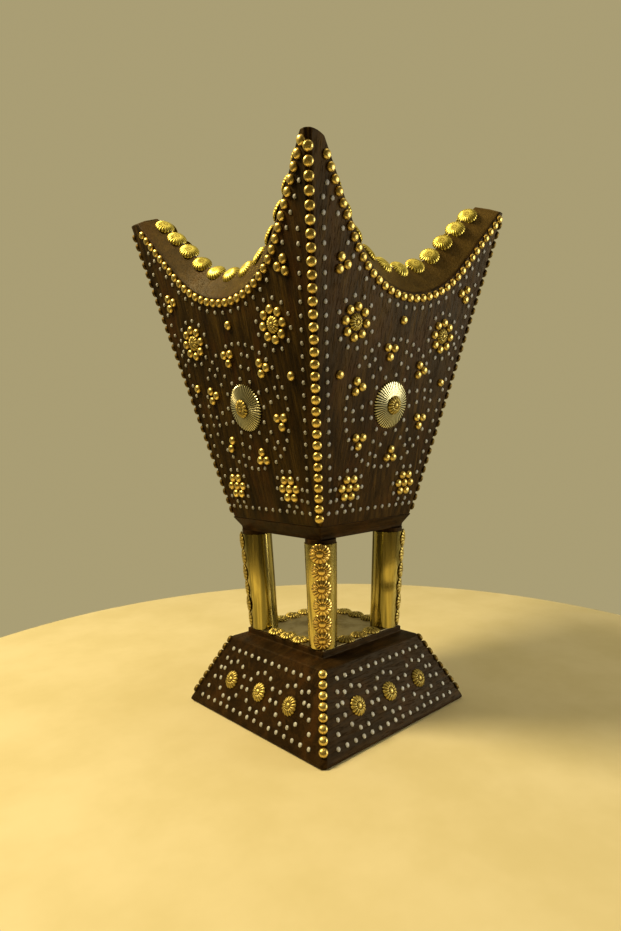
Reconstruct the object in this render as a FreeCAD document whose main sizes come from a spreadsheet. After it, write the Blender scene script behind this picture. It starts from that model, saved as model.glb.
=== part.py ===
import FreeCAD, Part
import os
from math import asin, atan, atan2, cos, degrees, hypot, pi, radians, sin, sqrt, tan

import Sketcher
from FreeCAD import Placement, Rotation, Vector

# A four-horned wooden mabkhara: a stepped base, four brass-sleeved legs and a flaring cup with a scoop
# cut out of each side, decorated all over with brass tacks, embossed daisies and small steel pins.
# Z is up and the origin is the middle of the base's underside. The front faces -Y.

SIZES = (
    # The base: a block with sloping sides, a cove and a low step.
    ("base_side", 130.0, "side of the base where it stands"),
    ("base_top_side", 88.0, "side at the top of the sloping faces"),
    ("base_rise", 42.0, "height of the sloping faces"),
    ("base_foot_round", 1.5, "rounding of the bottom edges"),
    ("base_corner_flat", 2.2, "flat planed along each sloping corner"),
    ("cove_rise", 2.5, "height of the cove above the sloping faces"),
    ("step_side", 71.0, "side of the step that carries the legs"),
    ("step_rise", 3.5, "height of the step"),
    ("plate_side", 68.5, "side of the sheet metal plate on the step"),
    ("plate_sheet", 0.6, "thickness of the plate"),
    # The legs: round wooden posts in brass sleeves, leaning outwards.
    ("leg_rise", 65.0, "from the step to the underside of the cup"),
    ("leg_spread_low", 27.4, "leg centre from each middle plane, at the step"),
    ("leg_spread_high", 30.4, "leg centre from each middle plane, at the cup"),
    ("sleeve_low_dia", 16.9, "outside of a sleeve at the bottom"),
    ("sleeve_high_dia", 19.4, "outside of a sleeve at the top"),
    ("sleeve_sheet", 0.5, "thickness of the sleeve's brass"),
    ("sleeve_gap", 2.2, "bare post between the sleeve and the cup"),
    ("sleeve_play", 0.1, "room between post and sleeve, per side"),
    ("tenon_dia", 9.0, "tenon at each end of a post"),
    ("tenon_low_length", 10.0, "tenon in the base"),
    ("tenon_high_length", 5.5, "tenon in the cup's floor"),
    ("tenon_play", 0.1, "room round and past a tenon"),
    # The cup: a floor block and four mitred boards that lean outwards.
    ("foot_side", 74.0, "side of the cup's underside"),
    ("foot_rise", 2.0, "upright edge of the cup's underside"),
    ("foot_slope_rise", 6.5, "sloping edge above it"),
    ("cup_low_side", 82.5, "side where the boards start"),
    ("cup_high_side", 170.0, "side at the outer tips of the horns"),
    ("cup_rise", 189.5, "from the boards' feet to the outer tips of the horns"),
    ("board", 13.0, "thickness of the boards"),
    ("board_corner_flat", 2.4, "flat planed along each corner of the cup"),
    ("horn_bevel_rise", 3.5, "rise of a horn's inner tip over its outer tip"),
    ("plug_rise", 4.0, "upper part of the floor, between the boards"),
    ("plug_play", 0.2, "room round the floor's upper part"),
    # The scoops, measured along the sloping board from its foot.
    ("scoop_out_low", 133.5, "lowest point of the scoop's outer edge"),
    ("scoop_out_radius", 60.0, "bottom curve of the outer edge"),
    ("scoop_out_drift", 2.5, "how far the hand-sawn outer edge is off centre"),
    ("scoop_in_low", 147.0, "lowest point of the scoop's inner edge"),
    ("scoop_in_radius", 50.0, "bottom curve of the inner edge"),
    ("horn_out_width", 7.0, "a horn's top beside the outer edge, from the corner"),
    ("horn_in_width", 2.5, "the same beside the inner edge"),
    ("horn_out_round", 5.0, "rounding between an outer flank and the horn's top"),
    ("horn_in_round", 3.0, "rounding between an inner flank and the horn's top"),
    ("horn_nose_round", 10.5, "arch that each horn's nose is rounded off to"),
    ("horn_nose_drop", 1.0, "that arch below the horn's outer tip"),
    # The sheet metal lining of the cup.
    ("liner_sheet", 0.6, "thickness of the lining"),
    ("liner_play", 0.2, "room between the lining and the wood"),
    ("liner_drop", 4.0, "top of the lining below the horns' inner tips"),
    # Tacks, pins and stamped metal.
    ("tack_dia", 5.2, "round brass tack head"),
    ("tack_height", 2.0, "height of the head"),
    ("tack_skirt", 0.4, "upright edge of the head"),
    ("pin_dia", 2.3, "small steel pin head"),
    ("pin_height", 0.6, "height of the head"),
    ("pin_skirt", 0.15, "upright edge of the head"),
    ("daisy_dia", 11.2, "embossed tack on the base, the plate and the rosettes"),
    ("daisy_height", 2.4, "height of its head"),
    ("daisy_skirt", 0.4, "upright edge of its head"),
    ("boss_daisy_dia", 9.6, "small embossed tack in the middle of an upper boss"),
    ("boss_daisy_height", 2.2, "height of its head"),
    ("boss_daisy_skirt", 0.4, "upright edge of its head"),
    ("rim_daisy_dia", 12.2, "large embossed tack on the rims"),
    ("rim_daisy_height", 2.8, "height of its head"),
    ("rim_daisy_skirt", 0.5, "upright edge of its head"),
    ("leg_daisy_dia", 10.2, "embossed tack bent round a sleeve"),
    ("leg_daisy_sheet", 0.9, "how far it stands off the sleeve"),
    ("rosette_dia", 28.4, "fluted disc in the middle of each side"),
    ("rosette_flat_dia", 11.4, "its flat middle, under an embossed tack"),
    ("rosette_height", 3.0, "height of the disc"),
    ("rosette_edge", 0.5, "upright edge of the disc"),
    # Where the fittings go.
    ("corner_tack_step", 6.13, "spacing of the tacks along the cup's corners"),
    ("corner_tack_first", 5.0, "lowest of them above the foot of the boards"),
    ("corner_tack_top", 8.6, "highest of them below the horn's outer tip"),
    ("base_tack_step", 5.7, "spacing of the tacks along the base's corners"),
    ("base_tack_first", 9.0, "lowest of them, along the corner"),
    ("base_tack_top", 2.5, "highest of them below the cove, at most"),
    ("rim_tack_step", 5.8, "spacing of the tacks along the scoops"),
    ("rim_tack_inset", 2.7, "those tacks from the scoop's outer edge"),
    ("rim_tack_top", 7.5, "ends of that row below the horn's outer tip"),
    ("rim_tack_slide", 2.5, "how far the row is slid to the right"),
    ("rim_pin_step", 7.6, "spacing of the pins below those tacks"),
    ("rim_pin_inset", 8.0, "that row of pins from the scoop's outer edge"),
    ("rim_pin_top", 21.0, "ends of that row below the horn's outer tip"),
    ("rim_daisy_step", 14.1, "spacing of the large embossed tacks"),
    ("rim_daisy_inset", 0.6, "those tacks from the scoop's inner edge"),
    ("rim_daisy_top", 6.8, "ends of that row below the horn's inner tip"),
    ("rim_daisy_sink", 0.8, "how far their middles are hammered over that edge"),
    ("rim_daisy_tilt", 20.0, "how far those on the flanks lean in over the cup, degrees"),
    ("rim_daisy_low_tilt", 5.0, "how far the lowest ones lean in, degrees"),
    ("side_pin_step", 6.5, "spacing of the pins beside the cup's corners"),
    ("side_pin_inset", 8.6, "that row of pins from the corner"),
    ("side_pin_first", 14.5, "lowest of them, along the board"),
    ("side_pin_top", 21.0, "highest of them below the horn's outer tip"),
    ("foot_pin_height", 7.7, "bottom row of pins, along the board"),
    ("foot_pin_inset", 7.0, "the row's ends from the corners"),
    ("foot_pin_step", 6.5, "spacing of the bottom row"),
    ("pattern_drift", 2.5, "how far the handmade pattern is off centre"),
    ("rosette_up", 70.3, "middle of the rosette, along the board"),
    ("petal_ring", 37.3, "radius of the ring of pins round the petals"),
    ("petal_step", 6.1, "spacing of the pins in the petals"),
    ("petal_start", 16.6, "start of the petals' sides from the middle"),
    ("petal_side", 4.4, "petal side from the line between two petals"),
    ("petal_side_narrow", 2.6, "the same at the ring"),
    ("petal_tack", 31.0, "trefoils from the middle"),
    ("trefoil_radius", 3.4, "tacks from the middle of a trefoil"),
    ("high_boss_out", 38.5, "upper bosses from the centre line"),
    ("high_boss_up", 113.0, "upper bosses, along the board"),
    ("high_boss_ring", 8.0, "tacks from the middle of an upper boss"),
    ("high_boss_pins", 13.7, "pins from the middle of an upper boss"),
    ("low_boss_out", 25.0, "lower bosses from the centre line"),
    ("low_boss_up", 21.6, "lower bosses, along the board"),
    ("low_boss_ring", 5.9, "tacks from the middle of a lower boss"),
    ("low_boss_pins", 10.9, "pins from the middle of a lower boss"),
    ("high_tack_up", 118.3, "single tack on the centre line"),
    ("side_tack_out", 45.0, "single tacks at the sides"),
    ("side_tack_up", 85.0, "their height along the board"),
    ("horn_trefoil_out", 54.0, "trefoils in the horns"),
    ("horn_trefoil_up", 140.0, "their height along the board"),
    ("base_row_low", 7.2, "lower row of pins on the base, along the slope"),
    ("base_row_high", 40.6, "upper row"),
    ("base_row_inset", 11.0, "ends of the rows from the corner"),
    ("base_row_step", 6.6, "spacing of the rows"),
    ("base_daisy_up", 22.9, "embossed tacks on the base, along the slope"),
    ("base_daisy_out", 27.6, "outer ones from the centre line"),
    ("base_ring", 11.3, "pins round each embossed tack"),
    ("base_side_pin_step", 6.2, "spacing of the pins beside the corners"),
    ("plate_daisy_step", 11.4, "embossed tacks along the plate's edges"),
    ("plate_daisy_inset", 3.4, "those tacks from the plate's edge"),
    ("leg_daisy_step", 10.3, "spacing of the embossed tacks on the legs"),
    ("leg_daisy_first", 5.4, "lowest of them above the plate"),
    ("overrun", 4.0, "how far a cutting shape runs past what it cuts"),
)

QUARTERS = ("front", "right", "back", "left")
CORNERS = ("front_left", "front_right", "back_right", "back_left")
LEG_DAISIES = 6
HIGH_BOSS_TACKS = 8
HIGH_BOSS_PINS = 12
LOW_BOSS_TACKS = 6
LOW_BOSS_PINS = 10
BASE_RING_PINS = 11
PETALS = 6
PETAL_TURN = 43.0
# which way the single tack of each trefoil points, in degrees from the right, petal by petal
TREFOIL_POINTS = (0, 270, 0, 270, 90, 270)
MISSING_TACK = ("left", 3)
DRIFT_SHARES = (1, -1, 1, -1)
# of the wood beside it, the most that a horn's rounding takes
HORN_ROUND_SHARE = 0.8
# where the nose's arch starts above its middle, of its radius
NOSE_START_SHARE = 0.37
# heights closer than this count as the same
NEARLY = 0.0001

doc = FreeCAD.newDocument("mabkhara")
sheet = doc.addObject("Spreadsheet::Sheet", "Sizes")
for row, (alias, number, note) in enumerate(SIZES, 1):
    sheet.set(f"A{row}", alias)
    sheet.set(f"B{row}", str(number))
    sheet.set(f"C{row}", note)
    sheet.setAlias(f"B{row}", alias)
doc.recompute()


def size(alias):
    """A driving dimension, read back from the sheet."""
    return float(sheet.get(alias))


# Heights and slopes that follow from the sheet.
STEP_TOP = size("base_rise") + size("cove_rise") + size("step_rise")
PLATE_TOP = STEP_TOP + size("plate_sheet")
CUP_FOOT = STEP_TOP + size("leg_rise")
CUP_LOW = CUP_FOOT + size("foot_rise") + size("foot_slope_rise")
CUP_HALF = size("cup_low_side") / 2
FLARE = (size("cup_high_side") - size("cup_low_side")) / 2 / size("cup_rise")
LEAN = atan(FLARE)
BASE_HALF = size("base_side") / 2
TAPER = (size("base_side") - size("base_top_side")) / 2 / size("base_rise")
BOARD_RISE = size("cup_rise") / cos(LEAN)
INNER_RISE = (size("cup_rise") + size("horn_bevel_rise") - size("board") * sin(LEAN)) / cos(LEAN)
CORNER_RISE = BOARD_RISE * sqrt(1 + 2 * FLARE**2) / sqrt(1 + FLARE**2)


def cup_half(along):
    """Half the width of a cup's side, at a distance along the board from its foot."""
    return CUP_HALF + FLARE * cos(LEAN) * along


def base_half(along):
    """Half the width of a base's side, at a distance along its slope."""
    return BASE_HALF - TAPER * cos(atan(TAPER)) * along


def seat(turn, reach, height, lean):
    """The frame of a side: X to the right, Y up the slope and Z outwards, turned about the cup's axis."""
    stand = Placement(Vector(0, -reach, height), Rotation(Vector(1, 0, 0), 90 + degrees(lean)))
    return Placement(Vector(), Rotation(Vector(0, 0, 1), turn)) * stand


def cup_side(quarter):
    return seat(90 * quarter, CUP_HALF, CUP_LOW, LEAN)


def cup_corner(corner):
    reach = sqrt(2) * (CUP_HALF - size("board_corner_flat") / 2)
    return seat(90 * corner - 45, reach, CUP_LOW, atan(sqrt(2) * FLARE))


def base_side(quarter):
    return seat(90 * quarter, BASE_HALF, 0, -atan(TAPER))


# Sketches and bodies.

def new_body(label):
    body = doc.addObject("PartDesign::Body", label)
    body.Label = label
    return body


def new_sketch(body, name, role, height=None):
    """A sketch on one of the body's own planes, raised by an expression."""
    sketch = body.newObject("Sketcher::SketchObject", name)
    plane = [item for item in body.Origin.OriginFeatures if item.Role == role][0]
    sketch.AttachmentSupport = (plane, "")
    sketch.MapMode = "FlatFace"
    if height:
        sketch.setExpression("AttachmentOffset.Base.z", height)
    return sketch


def bind(sketch, constraint, expression):
    """Adds a constraint and ties its value to the sheet."""
    index = sketch.addConstraint(constraint)
    sketch.setExpression(f"Constraints[{index}]", expression)


def add_square(sketch, side, alias):
    """A square about the sketch's origin."""
    ends = [(-side / 2, -side / 2), (side / 2, -side / 2), (side / 2, side / 2), (-side / 2, side / 2)]
    lines = []
    for index in range(4):
        start = Vector(*ends[index], 0)
        end = Vector(*ends[(index + 1) % 4], 0)
        lines.append(sketch.addGeometry(Part.LineSegment(start, end), False))
    for index in range(4):
        sketch.addConstraint(Sketcher.Constraint("Coincident", lines[index], 2, lines[(index + 1) % 4], 1))
        kind = "Horizontal" if index % 2 == 0 else "Vertical"
        sketch.addConstraint(Sketcher.Constraint(kind, lines[index]))
    sketch.addConstraint(Sketcher.Constraint("Symmetric", lines[0], 1, lines[1], 2, -1, 1))
    bind(sketch, Sketcher.Constraint("Distance", lines[0], side), alias)
    bind(sketch, Sketcher.Constraint("Distance", lines[1], side), alias)


def square_sketch(body, name, alias, height=None):
    sketch = new_sketch(body, name, "XY_Plane", height)
    add_square(sketch, size(alias), f"Sizes.{alias}")
    return sketch


def add_circle(sketch, x, y, radius, place, width):
    """A circle whose centre lies out from the origin by the same expression along X and Y."""
    circle = sketch.addGeometry(Part.Circle(Vector(x, y, 0), Vector(0, 0, 1), radius), False)
    bind(sketch, Sketcher.Constraint("Radius", circle, radius), width)
    for axis, value in (("DistanceX", x), ("DistanceY", y)):
        if value > 0:
            bind(sketch, Sketcher.Constraint(axis, -1, 1, circle, 3, value), place)
        else:
            bind(sketch, Sketcher.Constraint(axis, circle, 3, -1, 1, -value), place)


def add_socket_circles(sketch, alias):
    """Four circles where the legs' tenons go."""
    spread = size(alias)
    radius = size("tenon_dia") / 2 + size("tenon_play")
    for x, y in ((spread, spread), (-spread, spread), (-spread, -spread), (spread, -spread)):
        add_circle(sketch, x, y, radius, f"Sizes.{alias}", "Sizes.tenon_dia / 2 + Sizes.tenon_play")


def loft(body, name, lower, upper, kind="PartDesign::AdditiveLoft"):
    feature = body.newObject(kind, name)
    feature.Profile = lower
    feature.Sections = [upper]
    feature.Ruled = True
    return feature


def pad(body, name, sketch, length):
    feature = body.newObject("PartDesign::Pad", name)
    feature.Profile = sketch
    feature.setExpression("Length", length)
    return feature


def pocket(body, name, sketch, length, downwards=True):
    """A pocket that has to take material away."""
    doc.recompute()
    before = body.Shape.Volume
    feature = body.newObject("PartDesign::Pocket", name)
    feature.Profile = sketch
    feature.Reversed = not downwards
    feature.setExpression("Length", length)
    doc.recompute()
    if body.Shape.Volume >= before:
        raise RuntimeError(f"{name} cuts nothing")
    return feature


def edges_between(shape, low, high):
    """Names of the straight edges that run from one height to the other."""
    names = []
    for index, edge in enumerate(shape.Edges, 1):
        heights = sorted(vertex.Point.z for vertex in edge.Vertexes)
        if len(heights) == 2 and abs(heights[0] - low) < NEARLY and abs(heights[1] - high) < NEARLY:
            names.append(f"Edge{index}")
    return names


def set_shape(label, shape, place=None):
    """A part whose shape is made outright, then put in its place."""
    item = doc.addObject("Part::Feature", label)
    item.Label = label
    item.Shape = shape
    if place:
        item.Placement = place
    return item


def scatter(label, master, places, frame=None):
    """Copies of one small piece, each a solid of its own, in one group."""
    copies = []
    for place in places:
        copy = master.Shape.copy()
        copy.Placement = place
        copies.append(copy)
    return set_shape(label, Part.makeCompound(copies), frame)


def flat_places(points):
    return [Placement(Vector(x, y, 0), Rotation()) for x, y in points]


# The base.

base = new_body("base_block")
base_foot = square_sketch(base, "base_outline", "base_side")
base_shoulder = square_sketch(base, "base_shoulder", "base_top_side", "Sizes.base_rise")
loft(base, "base_slope", base_foot, base_shoulder)
cove_foot = square_sketch(base, "cove_foot", "base_top_side", "Sizes.base_rise")
cove_top = square_sketch(base, "cove_top", "step_side", "Sizes.base_rise + Sizes.cove_rise")
loft(base, "cove", cove_foot, cove_top)
step_outline = square_sketch(base, "step_outline", "step_side", "Sizes.base_rise + Sizes.cove_rise")
pad(base, "step", step_outline, "Sizes.step_rise")
base_sockets = new_sketch(
    base, "base_sockets", "XY_Plane", "Sizes.base_rise + Sizes.cove_rise + Sizes.step_rise"
)
add_socket_circles(base_sockets, "leg_spread_low")
sockets = pocket(base, "leg_sockets", base_sockets, "Sizes.tenon_low_length + Sizes.tenon_play")
corner_flats = base.newObject("PartDesign::Chamfer", "corner_flats")
corner_flats.Base = (sockets, edges_between(sockets.Shape, 0, size("base_rise")))
corner_flats.setExpression("Size", "Sizes.base_corner_flat")
doc.recompute()
foot_round = base.newObject("PartDesign::Fillet", "foot_round")
foot_round.Base = (corner_flats, edges_between(corner_flats.Shape, 0, 0))
foot_round.setExpression("Radius", "Sizes.base_foot_round")

plate = new_body("base_plate")
plate_outline = square_sketch(plate, "plate_outline", "plate_side")
add_socket_circles(plate_outline, "leg_spread_low")
pad(plate, "plate_sheet", plate_outline, "Sizes.plate_sheet")
plate.Placement = Placement(Vector(0, 0, STEP_TOP), Rotation())


# The legs. Each is made in front of the middle and turned to its corner.

LEG_LOW = sqrt(2) * size("leg_spread_low")
LEG_HIGH = sqrt(2) * size("leg_spread_high")
SHOULDER = PLATE_TOP - STEP_TOP


def leg_reach(height):
    """How far a leg's centre stands from the middle, at a height above the step."""
    return LEG_LOW + (LEG_HIGH - LEG_LOW) * height / size("leg_rise")


def sleeve_radius(height):
    low, high = size("sleeve_low_dia") / 2, size("sleeve_high_dia") / 2
    return low + (high - low) * height / size("leg_rise")


SPREAD_RULE = "Sizes.leg_spread_low + (Sizes.leg_spread_high - Sizes.leg_spread_low) * {0} / Sizes.leg_rise"
WIDTH_RULE = "Sizes.sleeve_low_dia + (Sizes.sleeve_high_dia - Sizes.sleeve_low_dia) * {0} / Sizes.leg_rise"
REACH_RULE = f"sqrt(2) * ({SPREAD_RULE})"
RADIUS_RULE = f"({WIDTH_RULE}) / 2"


def leg_circle(body, name, height, rule, less=0.0, less_rule=""):
    """A circle round the leg's leaning centre line, at a height above the step."""
    sketch = new_sketch(body, name, "XY_Plane", rule)
    centre = Vector(0, -leg_reach(height), 0)
    radius = sleeve_radius(height) - less
    circle = sketch.addGeometry(Part.Circle(centre, Vector(0, 0, 1), radius), False)
    sketch.addConstraint(Sketcher.Constraint("PointOnObject", circle, 3, -2))
    distance = Sketcher.Constraint("DistanceY", circle, 3, -1, 1, leg_reach(height))
    bind(sketch, distance, REACH_RULE.format(f"({rule})"))
    bind(sketch, Sketcher.Constraint("Radius", circle, radius), RADIUS_RULE.format(f"({rule})") + less_rule)
    return sketch


def tenon(body, name, reach, reach_rule, height_rule, length, downwards):
    """A round tenon, standing upright."""
    sketch = new_sketch(body, name + "_outline", "XY_Plane", height_rule)
    radius = size("tenon_dia") / 2
    circle = sketch.addGeometry(Part.Circle(Vector(0, -reach, 0), Vector(0, 0, 1), radius), False)
    sketch.addConstraint(Sketcher.Constraint("PointOnObject", circle, 3, -2))
    bind(sketch, Sketcher.Constraint("DistanceY", circle, 3, -1, 1, reach), reach_rule)
    bind(sketch, Sketcher.Constraint("Radius", circle, radius), "Sizes.tenon_dia / 2")
    feature = pad(body, name, sketch, length)
    feature.Reversed = downwards


def leg_post(corner, frame):
    body = new_body("leg_post_" + corner)
    less = size("sleeve_sheet") + size("sleeve_play")
    less_rule = " - Sizes.sleeve_sheet - Sizes.sleeve_play"
    low = leg_circle(body, "post_foot", SHOULDER, "Sizes.plate_sheet", less, less_rule)
    high = leg_circle(body, "post_head", size("leg_rise"), "Sizes.leg_rise", less, less_rule)
    loft(body, "post", low, high)
    tenon(
        body, "foot_tenon", LEG_LOW, "sqrt(2) * Sizes.leg_spread_low", "Sizes.plate_sheet",
        "Sizes.plate_sheet + Sizes.tenon_low_length", True,
    )
    tenon(
        body, "head_tenon", LEG_HIGH, "sqrt(2) * Sizes.leg_spread_high", "Sizes.leg_rise",
        "Sizes.tenon_high_length", False,
    )
    body.Placement = frame


def leg_sleeve(corner, frame):
    body = new_body("leg_sleeve_" + corner)
    top = size("leg_rise") - size("sleeve_gap")
    top_rule = "Sizes.leg_rise - Sizes.sleeve_gap"
    low = leg_circle(body, "sleeve_foot", SHOULDER, "Sizes.plate_sheet")
    high = leg_circle(body, "sleeve_head", top, top_rule)
    loft(body, "sleeve_outside", low, high)
    less, less_rule = size("sleeve_sheet"), " - Sizes.sleeve_sheet"
    bore_low = leg_circle(body, "bore_foot", SHOULDER, "Sizes.plate_sheet", less, less_rule)
    bore_high = leg_circle(body, "bore_head", top, top_rule, less, less_rule)
    loft(body, "sleeve_bore", bore_low, bore_high, "PartDesign::SubtractiveLoft")
    body.Placement = frame


def leg_cone(stand_off):
    """The sleeve's outer surface, moved outwards, as a solid."""
    rings = []
    for height in (SHOULDER, size("leg_rise") - size("sleeve_gap")):
        centre = Vector(0, -leg_reach(height), height)
        circle = Part.Circle(centre, Vector(0, 0, 1), sleeve_radius(height) + stand_off)
        rings.append(Part.Wire(circle.toShape()))
    return Part.makeLoft(rings, True, True)


def leg_daisies():
    """Discs bent round the outer side of a sleeve, one above the other."""
    shell = leg_cone(size("leg_daisy_sheet")).cut(leg_cone(0))
    discs = []
    for index in range(LEG_DAISIES):
        height = SHOULDER + size("leg_daisy_first") + index * size("leg_daisy_step")
        reach = leg_reach(height)
        punch = Part.makeCylinder(
            size("leg_daisy_dia") / 2, sleeve_radius(height) + size("overrun"),
            Vector(0, -reach, height), Vector(0, -1, 0),
        )
        discs.extend(shell.common(punch).Solids)
    return Part.makeCompound(discs)


bent_daisies = leg_daisies()
for index, corner in enumerate(CORNERS):
    frame = Placement(Vector(0, 0, STEP_TOP), Rotation(Vector(0, 0, 1), 90 * index - 45))
    leg_post(corner, frame)
    leg_sleeve(corner, frame)
    set_shape("leg_daisies_" + corner, bent_daisies.copy(), frame)


# The cup's floor.

PLUG_SIDE = size("cup_low_side") - 2 * (size("board") / cos(LEAN) + size("plug_play"))

floor = new_body("cup_floor")
foot_outline = square_sketch(floor, "foot_outline", "foot_side")
pad(floor, "foot_edge", foot_outline, "Sizes.foot_rise")
slope_low = square_sketch(floor, "foot_slope_low", "foot_side", "Sizes.foot_rise")
slope_high = square_sketch(
    floor, "foot_slope_high", "cup_low_side", "Sizes.foot_rise + Sizes.foot_slope_rise"
)
loft(floor, "foot_slope", slope_low, slope_high)
plug_outline = new_sketch(floor, "plug_outline", "XY_Plane", "Sizes.foot_rise + Sizes.foot_slope_rise")
lean_rule = "cos(atan((Sizes.cup_high_side - Sizes.cup_low_side) / 2 / Sizes.cup_rise))"
plug_rule = f"Sizes.cup_low_side - 2 * (Sizes.board / {lean_rule} + Sizes.plug_play)"
add_square(plug_outline, PLUG_SIDE, plug_rule)
pad(floor, "plug", plug_outline, "Sizes.plug_rise")
floor_sockets = new_sketch(floor, "floor_sockets", "XY_Plane")
add_socket_circles(floor_sockets, "leg_spread_high")
pocket(floor, "head_sockets", floor_sockets, "Sizes.tenon_high_length + Sizes.tenon_play", downwards=False)
floor.Placement = Placement(Vector(0, 0, CUP_FOOT), Rotation())


# The cup's boards and the scoops in them.

class Scoop:
    """The edge of a scoop in the plane of a board: a bottom arc and two straight flanks, rounded into the
    horns' flat tops. The flanks run from the arc to a horn's width from the corners."""

    def __init__(self, low, radius, top, half, horn, tip_round, drift=0.0):
        self.low = low
        self.radius = radius
        self.top = top
        self.drift = drift
        rise = top - low - radius
        self.flank = atan2(rise, half - horn) + asin(radius / hypot(half - horn, rise))
        room = HORN_ROUND_SHARE * (horn - drift)
        self.tip_round = min(tip_round, room / tan(self.flank / 2))

    def row(self, inset, top):
        """Length of half a row that follows the edge at a distance, up to a height."""
        radius = self.radius + inset
        rise = top - (self.low + self.radius - radius * cos(self.flank))
        return radius * self.flank + rise / sin(self.flank)

    def point(self, distance, inset=0.0):
        """The place at a signed distance from the middle, along a row that follows the edge."""
        radius = self.radius + inset
        side = -1 if distance < 0 else 1
        along = abs(distance)
        turn = min(along / radius, self.flank)
        beyond = along - radius * turn
        x = radius * sin(turn) + beyond * cos(self.flank)
        y = self.low + self.radius - radius * cos(turn) + beyond * sin(self.flank)
        return self.drift + side * x, y

    def side(self, side):
        """One flank and its rounding: where the flank starts and ends, the rounding's middle and its end."""
        trim = self.tip_round * tan(self.flank / 2)
        arc = self.radius * self.flank
        length = self.row(0, self.top)
        end_x, top = self.point(side * length)
        end_x += side * trim
        middle_x = end_x - side * self.tip_round * sin(self.flank / 2)
        middle_y = top - self.tip_round * (1 - cos(self.flank / 2))
        points = [self.point(side * arc), self.point(side * (length - trim))]
        points += [(middle_x, middle_y), (end_x, top)]
        return [Vector(x, y, 0) for x, y in points]

    def edges(self):
        """The edge from the left horn's top to the right horn's top, as Part edges, and its two ends."""
        left, right = self.side(-1), self.side(1)
        curves = [
            Part.Arc(left[3], left[2], left[1]),
            Part.LineSegment(left[1], left[0]),
            Part.Arc(left[0], Vector(self.drift, self.low, 0), right[0]),
            Part.LineSegment(right[0], right[1]),
            Part.Arc(right[1], right[2], right[3]),
        ]
        return [curve.toShape() for curve in curves], left[3].x, right[3].x


def inner_half(along):
    """Half the width of a board's inner side, at a distance along it."""
    return cup_half(along) + size("board") * (sin(LEAN) * FLARE - 1 / cos(LEAN))


outer_scoop = Scoop(
    size("scoop_out_low"), size("scoop_out_radius"), BOARD_RISE, cup_half(BOARD_RISE),
    size("horn_out_width"), size("horn_out_round"), size("scoop_out_drift"),
)
inner_scoop = Scoop(
    size("scoop_in_low"), size("scoop_in_radius"), INNER_RISE, inner_half(INNER_RISE),
    size("horn_in_width"), size("horn_in_round"),
)


def board_outline(scoop, half, foot, depth):
    """The edges of a board on one of its two sides: the scoop's five, then the five straight ones."""
    edges, left_end, right_end = scoop.edges()
    low, high = half(foot), half(scoop.top)
    right = [Vector(right_end, scoop.top, 0), Vector(high, scoop.top, 0), Vector(low, foot, 0)]
    left = [Vector(-low, foot, 0), Vector(-high, scoop.top, 0), Vector(left_end, scoop.top, 0)]
    corners = right + left
    for start, finish in zip(corners, corners[1:]):
        edges.append(Part.LineSegment(start, finish).toShape())
    for edge in edges:
        edge.translate(Vector(0, 0, depth))
    return edges


def corner_cutters(side):
    """What planes the flat along one outer corner of a board and what rounds off the horn's nose there, in
    the board's own frame."""
    world = cup_side(0).inverse()
    frame = world.multiply(cup_corner(1 if side > 0 else 0))
    width = 2 * size("board")
    length = BOARD_RISE + 2 * size("board")
    plane = Part.makeBox(width, length, size("board"), Vector(-width / 2, -size("board"), 0))
    radius = size("horn_nose_round")
    middle = CORNER_RISE - size("horn_nose_drop") - radius
    start = middle + NOSE_START_SHARE * radius
    block = Part.makeBox(width, 2 * radius, 2 * width, Vector(-width / 2, start, -width))
    arch = Part.makeCylinder(radius, 2 * width, Vector(0, middle, -width))
    nose = block.cut(arch)
    for cutter in (plane, nose):
        cutter.Placement = frame
    return [plane, nose]


def make_board():
    """A board, closed edge by edge between its two sides. Its foot is level, to stand on the floor."""
    outside = board_outline(outer_scoop, cup_half, 0, 0)
    inside = board_outline(inner_scoop, inner_half, -size("board") * tan(LEAN), -size("board"))
    faces = [Part.Face(Part.Wire(Part.__sortEdges__(side))) for side in (outside, inside)]
    faces += [Part.makeRuledSurface(outer, inner) for outer, inner in zip(outside, inside)]
    shell = Part.Shell(faces)
    shell.sewShape()
    solid = Part.Solid(shell)
    if solid.Volume < 0:
        solid.reverse()
    return solid.cut(corner_cutters(1) + corner_cutters(-1)).Solids[0]


board = make_board()
for quarter, name in enumerate(QUARTERS):
    set_shape("cup_wall_" + name, board.copy(), cup_side(quarter))


# The sheet metal lining.

def square_at(half, height):
    points = [Vector(-half, -half, height), Vector(half, -half, height), Vector(half, half, height)]
    points.append(Vector(-half, half, height))
    return Part.makePolygon(points + points[:1])


def lining_half(height, inset):
    """Half the width inside the boards at a height, less an inset measured square to them."""
    return CUP_HALF + FLARE * (height - CUP_LOW) - (size("board") + inset) / cos(LEAN)


def scoop_cutter(quarter):
    """What the scoop takes out of the lining."""
    edges, left, right = inner_scoop.edges()
    top, high = inner_scoop.top, inner_scoop.top + 2 * size("overrun")
    corners = [Vector(right, top, 0), Vector(right, high, 0), Vector(left, high, 0), Vector(left, top, 0)]
    for start, finish in zip(corners, corners[1:]):
        edges.append(Part.LineSegment(start, finish).toShape())
    face = Part.Face(Part.Wire(Part.__sortEdges__(edges)))
    depth = 2 * size("overrun")
    face.translate(Vector(0, 0, size("overrun") - size("board")))
    cutter = face.extrude(Vector(0, 0, -depth))
    cutter.Placement = cup_side(quarter)
    return cutter


LINER_FLOOR = CUP_LOW + size("plug_rise")
LINER_TOP = CUP_LOW + size("cup_rise") + size("horn_bevel_rise") - size("liner_drop")


def tapered(low, high, inset):
    """A square block that follows the inside of the boards at a distance."""
    squares = [square_at(lining_half(height, inset), height) for height in (low, high)]
    return Part.makeLoft(squares, True, True)


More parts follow.
